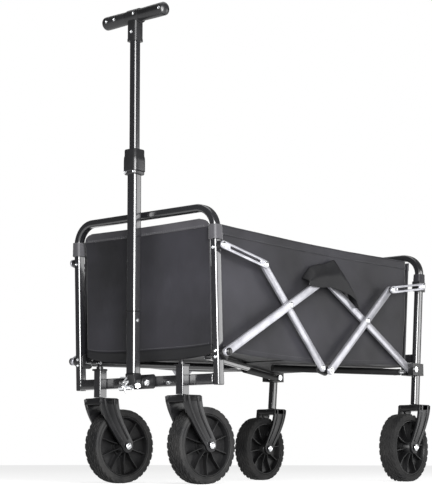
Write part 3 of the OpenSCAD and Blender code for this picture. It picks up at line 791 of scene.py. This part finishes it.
def add_block(points, faces, base, middle, half_turn, slant, low, high, outer_row):
    """One raised block: four corners at the carcass and four at the tread face."""
    start = len(points)
    face_r = WHEEL_R - 0.05
    for radius, shrink in ((base - 1.6, 1.0), (face_r, 0.84)):
        for across, turn in ((0, -1), (0, 1), (1, 1), (1, -1)):
            y = low + (high - low) * (0.5 + (across - 0.5) * shrink)
            drop = 1.1 * (abs(y) / 20.2) ** 3 if outer_row else 0.0
            a = middle + half_turn * turn * shrink + slant * (across - 0.5) * 2
            r = radius - (drop if radius == face_r else drop + 1.0)
            points.append(Vector((r * math.cos(a), y, r * math.sin(a))) * MM)
    for quad in ((4, 5, 6, 7), (0, 1, 5, 4), (1, 2, 6, 5), (2, 3, 7, 6), (3, 0, 4, 7)):
        faces.append(tuple(start + k for k in quad))


def rim_mesh(name):
    """A dished plastic wheel centre with ten ribs on each face."""
    origin = Vector((0, 0, 0))
    shell = lathe(name + "_shell", [(RIM_LIP_R, -18), (RIM_LIP_R, 18), (65.6, 19.4), (63.8, 19.4), (63, 18),
                  (61, 7), (32, 4.6), (18, 4.2), (15, 22.4), (13.6, 24), (7, 24), (7, -24), (13.6, -24),
                  (15, -22.4), (18, -4.2), (32, -4.6), (61, -7), (63, -18), (63.8, -19.4),
                  (65.6, -19.4), (RIM_LIP_R, -18)], origin, (0, 1, 0), RIM_PLASTIC, 80)
    parts = [shell]
    for i in range(10):
        for side in SIDES:
            parts.append(rim_rib(f"{name}_rib_{i}_{side}", 2 * math.pi * (i + 0.25) / 10, side))
    for side in SIDES:
        parts.append(lathe(f"{name}_ring_{side}", [(20, 3.8), (24, 3.8), (23.4, 9), (20.6, 9), (20, 3.8)],
                           origin, (0, side, 0), RIM_PLASTIC, 48))
    return merged(name, parts)


def rim_rib(name, angle, side):
    """A tapering rib from the boss to the rim."""
    out = Vector((math.cos(angle), 0, math.sin(angle)))
    across = Vector((-math.sin(angle), 0, math.cos(angle)))
    points = []
    for radius, height in ((14, 20), (36, 15), (62, 16.5)):
        for shift, level in ((-1.6, 3), (1.6, 3), (1.0, height), (-1.0, height)):
            points.append((out * radius + across * shift + Vector((0, side * level, 0))) * MM)
    faces = []
    for i in range(2):
        for j in range(4):
            k = (j + 1) % 4
            faces.append((4 * i + j, 4 * i + k, 4 * i + 4 + k, 4 * i + 4 + j))
    return make(name, points, faces + [(0, 1, 2, 3), (8, 9, 10, 11)], RIM_PLASTIC)


def fork_leg(name, side):
    """A fork leg seen from the side: broad at the plate, narrow at the axle."""
    front = curve_between([(-22, FORK_TOP - 2), (-21, 160), (4, 122), (TRAIL - 15, 80)], 12)
    back = curve_between([(TRAIL + 14, 92), (TRAIL - 8, 128), (30, 150), (28, FORK_TOP - 2)], 12)
    eye = [(TRAIL + 14.5 * math.cos(a), WHEEL_R + 14.5 * math.sin(a))
           for a in [math.radians(190 + 170 * i / 10) for i in range(11)]]
    y0, y1 = mirrored(side, 25, 31)
    leg = local_slab(name, front + eye + back, y0, y1, PLASTIC, 1.2)
    ribs = [leg]
    for index, shift in enumerate((0.24, 0.76)):
        path = []
        for i in range(12):
            f, b = Vector(front[i]), Vector(back[len(back) - 1 - i])
            spot = f.lerp(b, shift)
            path.append(Vector((spot.x, side * 31.2, spot.y)) * MM)
        ribs.append(tube(f"{name}_rib_{index}", path, rounded_section(5, 3.4, 1.5, 3), PLASTIC, ACROSS))
    return ribs


def curve_between(handles, steps):
    """A cubic curve through four handles."""
    points = []
    for i in range(steps + 1):
        t = i / steps
        weights = ((1 - t) ** 3, 3 * t * (1 - t) ** 2, 3 * t * t * (1 - t), t ** 3)
        points.append((sum(w * h[0] for w, h in zip(weights, handles)),
                       sum(w * h[1] for w, h in zip(weights, handles))))
    return points


def local_slab(name, outline, y0, y1, material, edge):
    """A slab drawn about a local origin instead of the wagon's front."""
    obj = slab(name, outline, y0, y1, material, edge)
    obj.data.transform(Matrix.Translation((-FRONT_X, 0, 0)))
    return obj


def fork_mesh(name):
    parts = []
    for side in SIDES:
        parts += fork_leg(f"{name}_leg_{side}", side)
    plate = local_slab(name + "_plate", [(-22, 173), (-19, 188), (26, 188), (28, 185), (28, 173)],
                       -31, 31, PLASTIC, 2.0)
    parts.append(plate)
    for side in SIDES:
        web = [(-20, 174), (-12, 150), (-8, 150), (14, 174)]
        y0, y1 = mirrored(side, 22.5, 25.5)
        parts.append(local_slab(f"{name}_web_{side}", web, y0, y1, PLASTIC, 0.8))
    parts.append(lathe(name + "_seat", [(16, 187), (15.4, 188.6), (12.6, 189.4), (0, 189.4)],
                       Vector((0, 0, 0)), (0, 0, 1), STEEL, 36))
    return merged(name, parts)


def axle_ends(name):
    parts = []
    for side in SIDES:
        centre = Vector((TRAIL, side * 34, WHEEL_R)) * MM
        washer = lathe(f"{name}_washer_{side}", [(4, 0), (6.8, 0), (7.4, 0.6), (7.4, 1.4), (6.8, 2), (4, 2)],
                       centre, (0, side, 0), STEEL, 32)
        face = centre + Vector((0, side * 2 * MM, 0))
        nut = hex_nut(f"{name}_nut_{side}", face, (0, side, 0), 5.4, 3.2, STEEL)
        parts += [washer, nut]
    return merged(name, parts)


def placed(source, name, matrix, body, replaces=()):
    mesh = source.data.copy()
    mesh.transform(matrix)
    obj = new_object(name, mesh)
    settle(obj, body, replaces)
    return obj


def wheels():
    tyre = tyre_mesh("tyre_src")
    rim = rim_mesh("rim_src")
    fork = fork_mesh("fork_src")
    axle = axle_ends("axle_src")
    rear_leg_x = REAR_X + TUBE_D / 2 - (CROSS_Z - 190) * math.tan(REAR_LEAN)
    spots = (("front_left", (-11, -120.5), -7, "caster_left"),
             ("front_right", (-11, 120.5), -9, "caster_right"),
             ("rear_left", (rear_leg_x, -222), 180, "rear_frame"),
             ("rear_right", (rear_leg_x, 222), 180, "rear_frame"))
    for word, (x, y), turn, body in spots:
        base = Matrix.Translation(at(x, y, 0)) @ Matrix.Rotation(math.radians(turn), 4, "Z")
        hub = base @ Matrix.Translation(Vector((TRAIL, 0, WHEEL_R)) * MM)
        spin = Matrix.Rotation(math.radians(SPIN_PER_MM * x), 4, "Y")
        placed(tyre, f"tyre_tread_{word}", hub @ spin, f"wheel_{word}", (f"tyre_{word}",))
        placed(rim, f"rim_dish_{word}", hub @ spin, f"wheel_{word}", (f"wheel_hub_{word}",))
        front = word.startswith("front")
        fork_node = f"fork_{word}" if front else "forks_rear"
        axle_node = f"axle_{word}" if front else "axles_rear"
        placed(fork, f"fork_shell_{word}", base, body, (fork_node,))
        placed(axle, f"axle_ends_{word}", base, body, (axle_node,))
    for source in (tyre, rim, fork, axle):
        bpy.data.objects.remove(source)


# ---------------------------------------------------------------- cloth

def sheet_grid(name, place, across, up, size, material, thickness=1.4):
    """A cloth sheet from place(u, v), with UVs in metres over its flat size."""
    points = [place(i / across, j / up) for j in range(up + 1) for i in range(across + 1)]
    row = across + 1
    faces = [(j * row + i, j * row + i + 1, (j + 1) * row + i + 1, (j + 1) * row + i)
             for j in range(up) for i in range(across)]
    mesh = bpy.data.meshes.new(name)
    mesh.from_pydata([tuple(p) for p in points], [], faces)
    layer = mesh.uv_layers.new(name="UVMap")
    for loop in mesh.loops:
        j, i = divmod(loop.vertex_index, row)
        layer.data[loop.index].uv = (size[0] * i / across, size[1] * j / up)
    mesh.materials.append(material)
    obj = new_object(name, mesh)
    for polygon in mesh.polygons:
        polygon.use_smooth = True
    if thickness:
        thicken(obj, thickness)
    return obj


def thicken(obj, thickness):
    mod = obj.modifiers.new("thickness", "SOLIDIFY")
    mod.thickness = thickness * MM
    mod.offset = 0
    apply_modifiers(obj)


def ripple(x, y, z, scale, seed):
    """Smooth noise from -1 to 1 at a wavelength of scale millimetres."""
    return noise.noise(Vector((x / scale + seed, y / scale, z / scale - seed)))


STITCH_FACES = ((0, 1, 4), (1, 2, 4), (2, 3, 4), (3, 0, 4), (1, 0, 5), (2, 1, 5), (3, 2, 5), (0, 3, 5))


def stitches(name, spots, normal, body, length=3.4, gap=1.7):
    """Small raised stitches along a line of points."""
    points = []
    faces = []
    for a, b in zip(spots, spots[1:]):
        along = (b - a)
        count = max(1, int(along.length / ((length + gap) * MM)))
        way = along.normalized()
        across = way.cross(normal).normalized() * (0.55 * MM)
        lift = normal.normalized() * (0.75 * MM)
        for i in range(count):
            centre = a + along * ((i + 0.5) / count)
            end = way * (length / 2 * MM)
            start = len(points)
            points += [centre - end, centre + across, centre + end, centre - across]
            points += [centre + lift, centre - lift]
            for tri in STITCH_FACES:
                faces.append(tuple(start + k for k in tri))
    obj = make(name, points, faces, THREAD, smooth=False)
    settle(obj, body)
    return obj


def front_panel_point(u, v, lift=0.0):
    """Front wall of the tub; it bows forward a little between the posts."""
    y = PANEL_HALF * (2 * u - 1)
    z = PANEL_BASE + (PANEL_TOP - PANEL_BASE) * v
    over = max(0.0, abs(y) - (PANEL_HALF - PANEL_CORNER))
    rise = max(0.0, z - (PANEL_TOP - PANEL_CORNER))
    if over > 0 and rise > 0:
        reach = PANEL_CORNER / max(math.hypot(over, rise), PANEL_CORNER)
        y = math.copysign(PANEL_HALF - PANEL_CORNER + over * reach, y)
        z = PANEL_TOP - PANEL_CORNER + rise * reach
    z -= 4.0 * math.cos(y / PANEL_HALF * math.pi / 2) * max(0.0, v - 0.8) * 5 * 0.5
    z += 10 * max(0.0, 1 - v * 6) * (abs(y) / PANEL_HALF) ** 4
    swell = math.cos(y / PANEL_HALF * math.pi / 2) * math.sin(math.pi * min(1, v * 1.05))
    folds = 2.2 * ripple(y, 0, z, 95, 3) + 1.0 * ripple(y * 1.5, z * 0.4, z, 34, 8)
    x = 9 - 4.0 * swell + folds * (0.4 + 0.6 * swell) - lift
    slack = 10 * max(0.0, y / PANEL_HALF) ** 2 * min(1.0, max(0.0, 1.15 - v) * 3)
    return front_at(x, y - slack, z + 9 * max(0.0, 1 - v * 5) * max(0.0, y / PANEL_HALF) ** 3)


# Name, lowest share of the height, span, lift, flat depth, cloth and thickness.
FRONT_TRIMS = (("tub_front_binding", 0.938, 0.066, 1.6, 0.02, HEM, 1.4),
               ("tub_front_binding_back", 0.938, 0.066, -1.6, 0.02, HEM, 1.4),
               # The base band is a dark sheet laid over the panel's foot: painted shade.
               ("tub_front_base_shade_band", 0, 0.085, 1.2, 0.025, CLOTH_SHADED, 1.0))


def front_cloth():
    size = (2 * PANEL_HALF * MM, (PANEL_TOP - PANEL_BASE) * MM)
    panel = sheet_grid("tub_front_panel", front_panel_point, 96, 78, size, CLOTH)
    settle(panel, "front_frame", ("bag_front",))
    trims = []
    for name, low, span, lift, depth, cloth, thick in FRONT_TRIMS:
        trims.append(sheet_grid(name, lambda u, v: front_panel_point(u, low + span * v, lift), 96, 5,
                                (size[0], depth), cloth, thick))
    trims.append(sheet_grid("tub_front_skirt", lambda u, v: floor_point(10 + 3 * u, 31, 182, u, v, 283.6),
                            8, 50, (0.021, 0.364), CLOTH_SHADED))
    for trim in trims:
        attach(trim, "front_frame")
    for index, level in enumerate((0.945, 0.952)):
        line = [front_panel_point(i / 60, level, 2.6) for i in range(2, 59)]
        stitches(f"front_binding_stitch_{index}", line, Vector((-1, 0, 0)), "front_frame")
    line = [front_panel_point(i / 60, 0.095, 1.4) for i in range(1, 60)]
    stitches("front_seam_stitch", line, Vector((-1, 0, 0)), "front_frame")


def side_wall_point(side, u, v, lift=0.0):
    """Side wall of the tub from the front post to near the rear post."""
    x = WALL_X[0] + (WALL_X[1] - WALL_X[0]) * u
    inward = max(0.0, SKIRT - v) / SKIRT
    v = max(0.0, v - SKIRT) / (1 - SKIRT)
    crease = 288 - 17 * math.sin(math.pi * min(1.0, 0.12 + 0.95 * u))
    z = crease + (WALL_TOP - crease) * v + (281 - crease) * inward
    pull = max(0.0, u - 0.9) * 10
    x -= 24 * pull * max(0.0, 1 - v * 1.15) ** 1.5
    x += 5 * pull * math.sin(math.pi * v)
    z -= 5 * math.sin(math.pi * u) * max(0.0, v - 0.85) / 0.15
    y = 199 + 6 * u
    belly = math.sin(math.pi * u) * math.sin(math.pi * (0.12 + 0.8 * v))
    folds = 3.2 * ripple(x, 0, z, 130, 5 + side) + 1.6 * ripple(x + z * 0.5, z, 0, 48, 9 - side)
    tension = 2.0 * math.sin((x + 1.1 * z) / 26) * max(0.0, 1 - math.hypot(x - 20, z - 285) / 150)
    tension += 2.0 * math.sin((x - 1.3 * z) / 24) * max(0.0, 1 - math.hypot(x - 735, z - 285) / 150)
    y += 1.0 * belly + folds * (0.25 + 0.75 * math.sin(math.pi * u)) + tension + lift
    return at(x, side * (min(y, 209.5 + lift) - 13 * inward), z)


def side_cloth(side, word):
    size = ((WALL_X[1] - WALL_X[0]) * MM, 0.286)
    panel = sheet_grid(f"tub_side_{word}", lambda u, v: side_wall_point(side, u, v), 150, 60, size, CLOTH)
    hem = sheet_grid(f"tub_side_hem_{word}", lambda u, v: side_wall_point(side, u, 0.925 + 0.078 * v, 1.6),
                     150, 4, (size[0], 0.021), CLOTH, 1.2)
    line = [side_wall_point(side, i / 90, 0.932, 2.4) for i in range(1, 90)]
    sewn = stitches(f"side_hem_stitch_{word}", line, Vector((0, side, 0)), "front_frame")
    low = [side_wall_point(side, i / 90, 0.085, 1.2) for i in range(1, 88)]
    sewn_low = stitches(f"side_base_stitch_{word}", low, Vector((0, side, 0)), "front_frame")
    settle(panel, "front_frame", (f"bag_side_{word}",))
    settle(hem, "front_frame")
    for piece in (panel, hem, sewn, sewn_low):
        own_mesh(piece)


def rear_panel_point(u, v, lift=0.0):
    y = REAR_WALL_HALF * (2 * u - 1)
    z = REAR_WALL_BASE + (WALL_TOP - REAR_WALL_BASE) * v
    swell = math.cos(y / REAR_WALL_HALF * math.pi / 2) * math.sin(math.pi * v)
    folds = 2.0 * ripple(y, 0, z, 90, 31) + 1.0 * ripple(y * 1.5, z, 0, 36, 13)
    return rear_at(-3 + 0.6 * swell + folds * 0.5 * swell + lift, y, z)


def rear_cloth():
    size = (2 * REAR_WALL_HALF * MM, (WALL_TOP - REAR_WALL_BASE) * MM)
    panel = sheet_grid("tub_rear_panel", rear_panel_point, 80, 56, size, CLOTH)
    settle(panel, "rear_frame", ("bag_rear",))
    tape = sheet_grid("tub_rear_binding", lambda u, v: rear_panel_point(u, 0.93 + 0.075 * v, 1.5), 80, 4,
                      (size[0], 0.02), HEM)
    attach(tape, "rear_frame")
    skirt = sheet_grid("tub_rear_skirt", lambda u, v: floor_point(724, 754, 192, u, v, 284), 8, 50,
                       (0.03, 0.384), CLOTH_SHADED)
    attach(skirt, "rear_frame")


def floor_point(x0, x1, half, u, v, level=281.5):
    x = x0 + (x1 - x0) * u
    y = half * (2 * v - 1)
    folds = 1.2 * ripple(x, y, 0, 110, 21)
    return at(x, y, level + folds * 0.5)


def floor_cloth():
    for word in ("front", "rear"):
        x0, x1 = FLOOR_SPANS[word]
        size = ((x1 - x0) * MM, 2 * FLOOR_HALF * MM)
        panel = sheet_grid(f"tub_floor_{word}", lambda u, v: floor_point(x0, x1, FLOOR_HALF, u, v), 60, 50,
                           size, CLOTH_SHADED)
        settle(panel, f"floor_{word}", (f"bag_floor_{word}",))
    x0, x1 = FLOOR_SPANS["middle"]
    size = ((x1 - x0) * MM, 2 * FLOOR_HALF * MM)
    strip = sheet_grid("tub_floor_middle", lambda u, v: floor_point(x0, x1, FLOOR_HALF, u, v, 279.9), 14, 50,
                       size, CLOTH_SHADED)
    settle(strip, "front_frame", ("bag_floor_middle",))
    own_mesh(strip)


def outline_points(corners, steps):
    """Points at even steps along a line of corners."""
    lengths = [math.dist(a, b) for a, b in zip(corners, corners[1:])]
    points = []
    for i in range(steps + 1):
        left = sum(lengths) * i / steps
        leg = 0
        while leg < len(lengths) - 1 and left > lengths[leg]:
            left -= lengths[leg]
            leg += 1
        t = min(left / lengths[leg], 1)
        points.append(tuple(corners[leg][n] + (corners[leg + 1][n] - corners[leg][n]) * t for n in (0, 1)))
    return points


COVER_LOW = outline_points([(296, 444), (337, 441), (370, 445), (406, 443), (458, 435), (484, 426),
                            (500, 404)], 40)
COVER_TOP = outline_points([(304, 462), (330, 490), (364, 500), (384, 502), (428, 518), (452, 496),
                            (504, 412)], 40)


def along_line(points, share):
    """The place at a share of the way along evenly spaced points."""
    k = share * (len(points) - 1)
    i = min(int(k), len(points) - 2)
    return [points[i][n] + (points[i + 1][n] - points[i][n]) * (k - i) for n in (0, 1)]


def flap_point(side, u, v):
    """A cover sewn above the centre joint that tents out over the bars."""
    a = along_line(COVER_LOW, u)
    b = along_line(COVER_TOP, u)
    x = a[0] + (b[0] - a[0]) * v
    z = a[1] + (b[1] - a[1]) * v
    out = 235.5 - 25 * max(0.0, (v - 0.45) / 0.55) ** 1.5 - 4 * abs(2 * u - 1) ** 3
    out += 1.6 * ripple(x, 0, z, 40, 17) * (1 - v)
    return at(x, side * out, z)


def flap_cloth():
    for side, word in zip(SIDES, WORDS):
        size = (0.225, 0.085)
        flap = sheet_grid(f"joint_cover_{word}", lambda u, v: flap_point(side, u, v), 56, 20, size,
                          CLOTH_SHADED, 1.2)
        settle(flap, "flaps", ("joint_flaps",))


def sleeve_piece(name, half, low, high, place, side, body, node, material):
    """A cloth loop round a post, wider at its lower edge."""
    middle = side * (half - TUBE_W / 2)
    path = [place(TUBE_D / 2, middle, low + (high - low) * i / 10) for i in range(11)]
    section = rounded_section(TUBE_W + 5, TUBE_D + 5, 6.0, 9)
    points = []
    for i, centre in enumerate(path):
        flare = 1 + 0.03 * math.cos(math.pi * i / 10) + 0.012 * math.sin(i * 1.9)
        for a, b in section:
            points.append(centre + Vector((b * flare, a * flare, 0)) * MM)
    obj = make(name, points, loft_faces(len(path), len(section), False), material)
    layer = obj.data.uv_layers.new(name="UVMap")
    for loop in obj.data.loops:
        p = obj.data.vertices[loop.vertex_index].co
        layer.data[loop.index].uv = (p.x + p.y, p.z)
    thicken(obj, 1.4)
    shade(obj, 60)
    settle(obj, body, (node,))
    return obj


def sleeves():
    for side, word in zip(SIDES, WORDS):
        # The front sleeves' lighter tape is painted light; the rear sleeves keep the plain black cloth.
        sleeve_piece(f"sleeve_front_{word}", FRONT_HALF, *FRONT_LOOP_Z, front_at, side,
                     "front_frame", "sleeves_front", SLEEVE_CLOTH_PAINTED_LIGHT)
        sleeve_piece(f"sleeve_rear_{word}", REAR_HALF, *REAR_LOOP_Z, rear_at, side,
                     "rear_frame", "sleeves_rear", CLOTH)


# ---------------------------------------------------------------- handle

def grip_piece():
    half, r = 94, 15
    profile = [(0, -half)]
    for i in range(1, 8):
        a = math.radians(90 - 90 * i / 7)
        profile.append((r * math.cos(a), -half + 9 * (1 - math.sin(a))))
    for i in range(13):
        t = i / 12
        y = -half + 12 + (2 * half - 24) * t
        profile.append((r - 0.8 * math.sin(math.pi * t) ** 2, y))
    profile += [(p, -h) for p, h in profile[:8][::-1]]
    bar = lathe("grip_bar", profile, at(HANDLE_X, 0, GRIP_Z), (0, 1, 0), GRIP_PLASTIC, 48)
    path = [at(HANDLE_X, 0, GRIP_Z - drop) for drop in (58, 56, 32, 12, 6)]
    socket = tube("grip_socket", path, rounded_section(27, 27, 6), GRIP_PLASTIC, AHEAD)
    saddle = lathe("grip_saddle", [(16.6, -17), (16.9, -14), (16.9, 14), (16.6, 17)],
                   at(HANDLE_X, 0, GRIP_Z - 1), (0, 1, 0), GRIP_PLASTIC, 48)
    seam = tube("grip_socket_lip", [at(HANDLE_X, 0, GRIP_Z - drop) for drop in (58.1, 57, 53.5, 53)],
                rounded_section(28.4, 28.4, 6.6), GRIP_PLASTIC, AHEAD)
    screws = []
    for index, (y, z) in enumerate(((-82, 0), (-8, 2), (52, 0), (76, 0), (0, -38))):
        reach = 13.9 if index == 4 else (16.6 if index == 1 else 14.6)
        centre = at(HANDLE_X - reach, y, GRIP_Z + z)
        screws.append(screw_head(f"grip_screw_{index}", centre, (-1, 0, 0)))
    parts = [bar, socket, saddle, seam, *screws]
    merged("grip_bar_set", parts, "handle_inner", ("handle_grip",))


def screw_head(name, centre, axis):
    return lathe(name, [(3.6, -0.4), (3.6, 0.3), (3.0, 0.8), (1.6, 0.95), (1.2, 0.2), (0, 0.2)],
                 centre, axis, STEEL, 24)


def collar_piece():
    section = rounded_section(35, 35, 7)
    wide = rounded_section(38, 38, 8)
    levels = ((56, 0.95, section), (54, 1, section), (50, 1, section), (48, 1, wide), (45, 1, wide),
              (26, 1, wide), (18, 0.985, wide), (14, 1, section), (2, 1, section), (0, 0.95, section))
    points = []
    for drop, grow, shape in levels:
        points += [at(HANDLE_X, 0, COLLAR_Z - drop) + Vector((a * grow, b * grow, 0)) * MM for a, b in shape]
    shell = make("collar_shell", points, loft_faces(len(levels), len(section)), GRIP_PLASTIC)
    parts = [shell]
    for index, y in enumerate((-12.5, 12.5)):
        parts.append(screw_head(f"collar_screw_{index}", at(HANDLE_X - 17.4, y, COLLAR_Z - 51), (-1, 0, 0)))
    merged("handle_collar_shell", parts, "handle", ("handle_collar",))


def handle_tubes():
    lower = [at(HANDLE_X, 0, z) for z in (238, 400, 560, COLLAR_Z - 6)]
    outer = tube("handle_outer_tube", lower, rounded_section(OUTER_TUBE, OUTER_TUBE, 6.5, 8), POWDER, AHEAD)
    settle(outer, "handle", ("handle_tube_outer",))
    upper = [at(HANDLE_X, 0, z) for z in (COLLAR_Z - 148, COLLAR_Z, 900, GRIP_Z - 13)]
    inner = tube("handle_inner_tube", upper, rounded_section(INNER_TUBE, INNER_TUBE, 5.2, 8), POWDER, AHEAD)
    settle(inner, "handle_inner", ("handle_tube_inner",))
    dome = lathe("button_dome", [(4, -1.3), (4, 0.9), (3.3, 1.9), (1.8, 2.4), (0, 2.5)],
                 at(HANDLE_X, -OUTER_TUBE / 2, BUTTON_Z), (0, -1, 0), STEEL, 24)
    settle(dome, "handle_button", ("handle_button",))
    stop = [at(HANDLE_X, 0, z) for z in (370, 370.3, 372.7, 373)]
    band = tube("handle_stop_band", stop, rounded_section(25.5, 25.5, 6.6, 8), PLASTIC, AHEAD)
    settle(band, "handle")


def handle_base():
    """Bracket on the crossbar, pivot bolt, foot block and the bent locking wire."""
    cheeks = []
    for side in SIDES:
        y0, y1 = mirrored(side, 30, 36)
        outline = hull_outline([((HANDLE_X, HANDLE_PIVOT_Z), 11), ((-8, 213), 8), ((-8, 228), 8)])
        cheeks.append(slab(f"cheek_{side}", outline, y0, y1, PLASTIC, 1.2))
    cheeks.append(block("bracket_back", (-6, -31, 205), (5.9, 62, 31), PLASTIC, 1.2))
    merged("handle_cheeks", cheeks, "front_frame", ("handle_bracket",))
    centre = at(HANDLE_X, 0, HANDLE_PIVOT_Z)
    bolt = [lathe("bolt_shank", [(4, -38), (4, 38)], centre, (0, 1, 0), STEEL, 20)]
    for side in SIDES:
        barrel = [(4, 14), (7.4, 14), (8, 14.8), (8, 28.8), (7.4, 29.6), (4, 29.6)]
        bolt.append(lathe(f"barrel_{side}", barrel, centre, (0, side, 0), STEEL, 32))
    bolt.append(hex_nut("pivot_nut", at(HANDLE_X, -36.3, HANDLE_PIVOT_Z), (0, -1, 0), 7.5, 5, STEEL))
    head = [(7.5, 36.3), (7.5, 38), (5.5, 39), (0, 39)]
    bolt.append(lathe("pivot_head", head, centre, (0, 1, 0), STEEL, 28))
    bolt.append(lathe("lock_barrel", [(2, -30), (6.2, -30), (6.8, -29.2), (6.8, -17), (5.4, -16), (5.4, 3),
                      (6, 4), (6, 7), (2, 7)], at(HANDLE_X - 9.5, 0, 207), (0, -1, 0), STEEL, 32))
    bolt.append(hex_nut("lock_nut", at(HANDLE_X - 9.5, -21, 210), (-0.6, -0.8, 0), 6.4, 4.4, STEEL))
    corners = [(-46, 26, 229), (-49, 4, 228), (-50, 15, 218), (-51, -2, 220), (-50, 12, 207), (-49, 8, 195)]
    ring = round_section(1.5, 6)
    for index, (a, b) in enumerate(zip(corners, corners[1:])):
        leg = [at(*a), at(*b)]
        bolt.append(tube(f"lock_wire_{index}", leg, ring, STEEL, Vector((1, 0.2, 0.1))))
    merged("handle_pivot_set", bolt, "front_frame", ("handle_pin",))
    foot = hull_outline([((HANDLE_X + 1, HANDLE_PIVOT_Z), 8.5), ((HANDLE_X - 8, 234), 4.4),
                         ((HANDLE_X + 8, 234), 4.4)])
    block_piece = slab("handle_foot_block", foot, -12.5, 12.5, PLASTIC, 1.4)
    settle(block_piece, "handle", ("handle_foot",))


# ---------------------------------------------------------------- brackets and knobs

def knob(name, x, z, y, side, radius, length):
    """A round plastic knob that points outward."""
    profile = [(radius * 0.9, 0), (radius, 1.2), (radius, length - 3)]
    for i in range(1, 6):
        a = math.radians(18 * i)
        profile.append((radius * (0.35 + 0.65 * math.cos(a)), length - 3 + 3 * math.sin(a)))
    profile.append((0, length))
    return lathe(name, profile, at(x, side * y, z), (0, side, 0), PLASTIC, 32)


def front_brackets():
    """Saddles, bosses and screws that hold the scissor bars to the front posts."""
    caps, saddles, bosses = [], [], []
    for side in SIDES:
        caps.append(knob(f"cap_low_{side}", *FRONT_PIVOT, 228.9, side, 8.5, 6))
        for z in (266, 279, 497):
            x = -(z - CROSS_Z) * math.tan(FRONT_LEAN) + 0.1
            caps.append(screw_head(f"face_screw_{z}_{side}", at(x, side * 202, z), (-1, 0, 0)))
        caps.append(lathe(f"floor_pin_{side}", [(4, 153), (4, 193), (6.5, 193.2), (6.5, 195), (0, 195.4)],
                          at(24, 0, 270), (0, side, 0), STEEL, 24))
        cheek = hull_outline([((24, 270), 12), ((8, 284), 6), ((8, 264), 6), ((22, 286), 7)])
        y0, y1 = mirrored(side, 190, 193.7)
        saddles.append(slab(f"saddle_in_{side}", cheek, y0, y1, PLASTIC, 0.9))
        outer = hull_outline([(FRONT_PIVOT, 9), ((17, 284), 4), ((17, 264), 4)])
        y0, y1 = mirrored(side, 210.1, 219.9)
        saddles.append(slab(f"saddle_out_{side}", outer, y0, y1, PLASTIC, 1.0))
        boss = [(4, 209.6), (9.4, 209.6), (9.4, 213), (8, 215), (8, 220.2), (4, 220.2)]
        bosses.append(lathe(f"link_boss_{side}", boss, at(UPPER_FRONT[0], 0, UPPER_FRONT[1]), (0, side, 0),
                            PLASTIC, 28))
    merged("front_bracket_caps", caps, "front_frame", ("rivets_front",))
    merged("front_saddles", saddles, "front_frame", ("brackets_front",))
    merged("front_link_bosses", bosses, "front_frame", ("clips_front",))


def colour_cad():
    """Gives every CAD node that stays in view its detailed material."""
    # The rear floor frame takes the darker matt copy of the powder coat as painted shade.
    finishes = {"caster_legs": POWDER, "caster_caps": PLASTIC,
                "floor_frame_front": POWDER, "floor_frame_rear": FRAME_MATT_PAINTED_SHADE, "brackets_rear": PLASTIC,
                "clips_rear": PLASTIC, "rivets_rear": STEEL}
    for node, material in finishes.items():
        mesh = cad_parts[node].data
        mesh.materials.clear()
        mesh.materials.append(material)
        for polygon in mesh.polygons:
            polygon.material_index = 0


# ---------------------------------------------------------------- studio

def studio():
    bpy.ops.mesh.primitive_plane_add(size=30, location=(0, 0, 0))
    ground = bpy.context.object
    ground.name = "studio_floor"
    white = new_material("studio_white", (0.22, 0.22, 0.22), 0.9, Emission_Color=(1, 1, 1, 1),
                         Emission_Strength=0.8)
    ground.data.materials.append(white)
    bpy.context.scene.view_settings.view_transform = "Standard"
    world = bpy.data.worlds.new("studio_world")
    bpy.context.scene.world = world
    world.use_nodes = True
    nodes, wires = world.node_tree.nodes, world.node_tree.links
    back = nodes["Background"]
    back.inputs["Color"].default_value = (1, 1, 1, 1)
    path = nodes.new("ShaderNodeLightPath")
    level = nodes.new("ShaderNodeMapRange")
    level.inputs["To Min"].default_value = 0.12
    level.inputs["To Max"].default_value = 1.0
    wires.new(path.outputs["Is Camera Ray"], level.inputs["Value"])
    wires.new(level.outputs["Result"], back.inputs["Strength"])
    for softbox in SOFTBOXES:
        area_light(*softbox)


def area_light(name, place, aim, width, height, power):
    light = bpy.data.lights.new(name, "AREA")
    light.shape = "RECTANGLE"
    light.size, light.size_y, light.energy = width, height, power
    obj = new_object(name, light)
    obj.visible_camera = False
    obj.location = place
    obj.rotation_euler = (Vector(aim) - Vector(place)).to_track_quat("-Z", "Y").to_euler()


def camera():
    data = bpy.data.cameras.new("photo_camera")
    data.sensor_width = 36
    data.lens = CAMERA_LENS
    data.shift_x, data.shift_y = CAMERA_SHIFT
    data.clip_end = 60
    cam = new_object("photo_camera", data)
    cam.location = at(*CAMERA_PLACE)
    cam.rotation_euler = [math.radians(turn) for turn in CAMERA_TURN]
    bpy.context.scene.camera = cam


front_end()
rear_end()
scissors()
centre_hubs()
wheels()
front_cloth()
for side_sign, side_word in zip(SIDES, WORDS):
    side_cloth(side_sign, side_word)
rear_cloth()
floor_cloth()
flap_cloth()
sleeves()
grip_piece()
collar_piece()
handle_tubes()
handle_base()
front_brackets()
colour_cad()
studio()
camera()
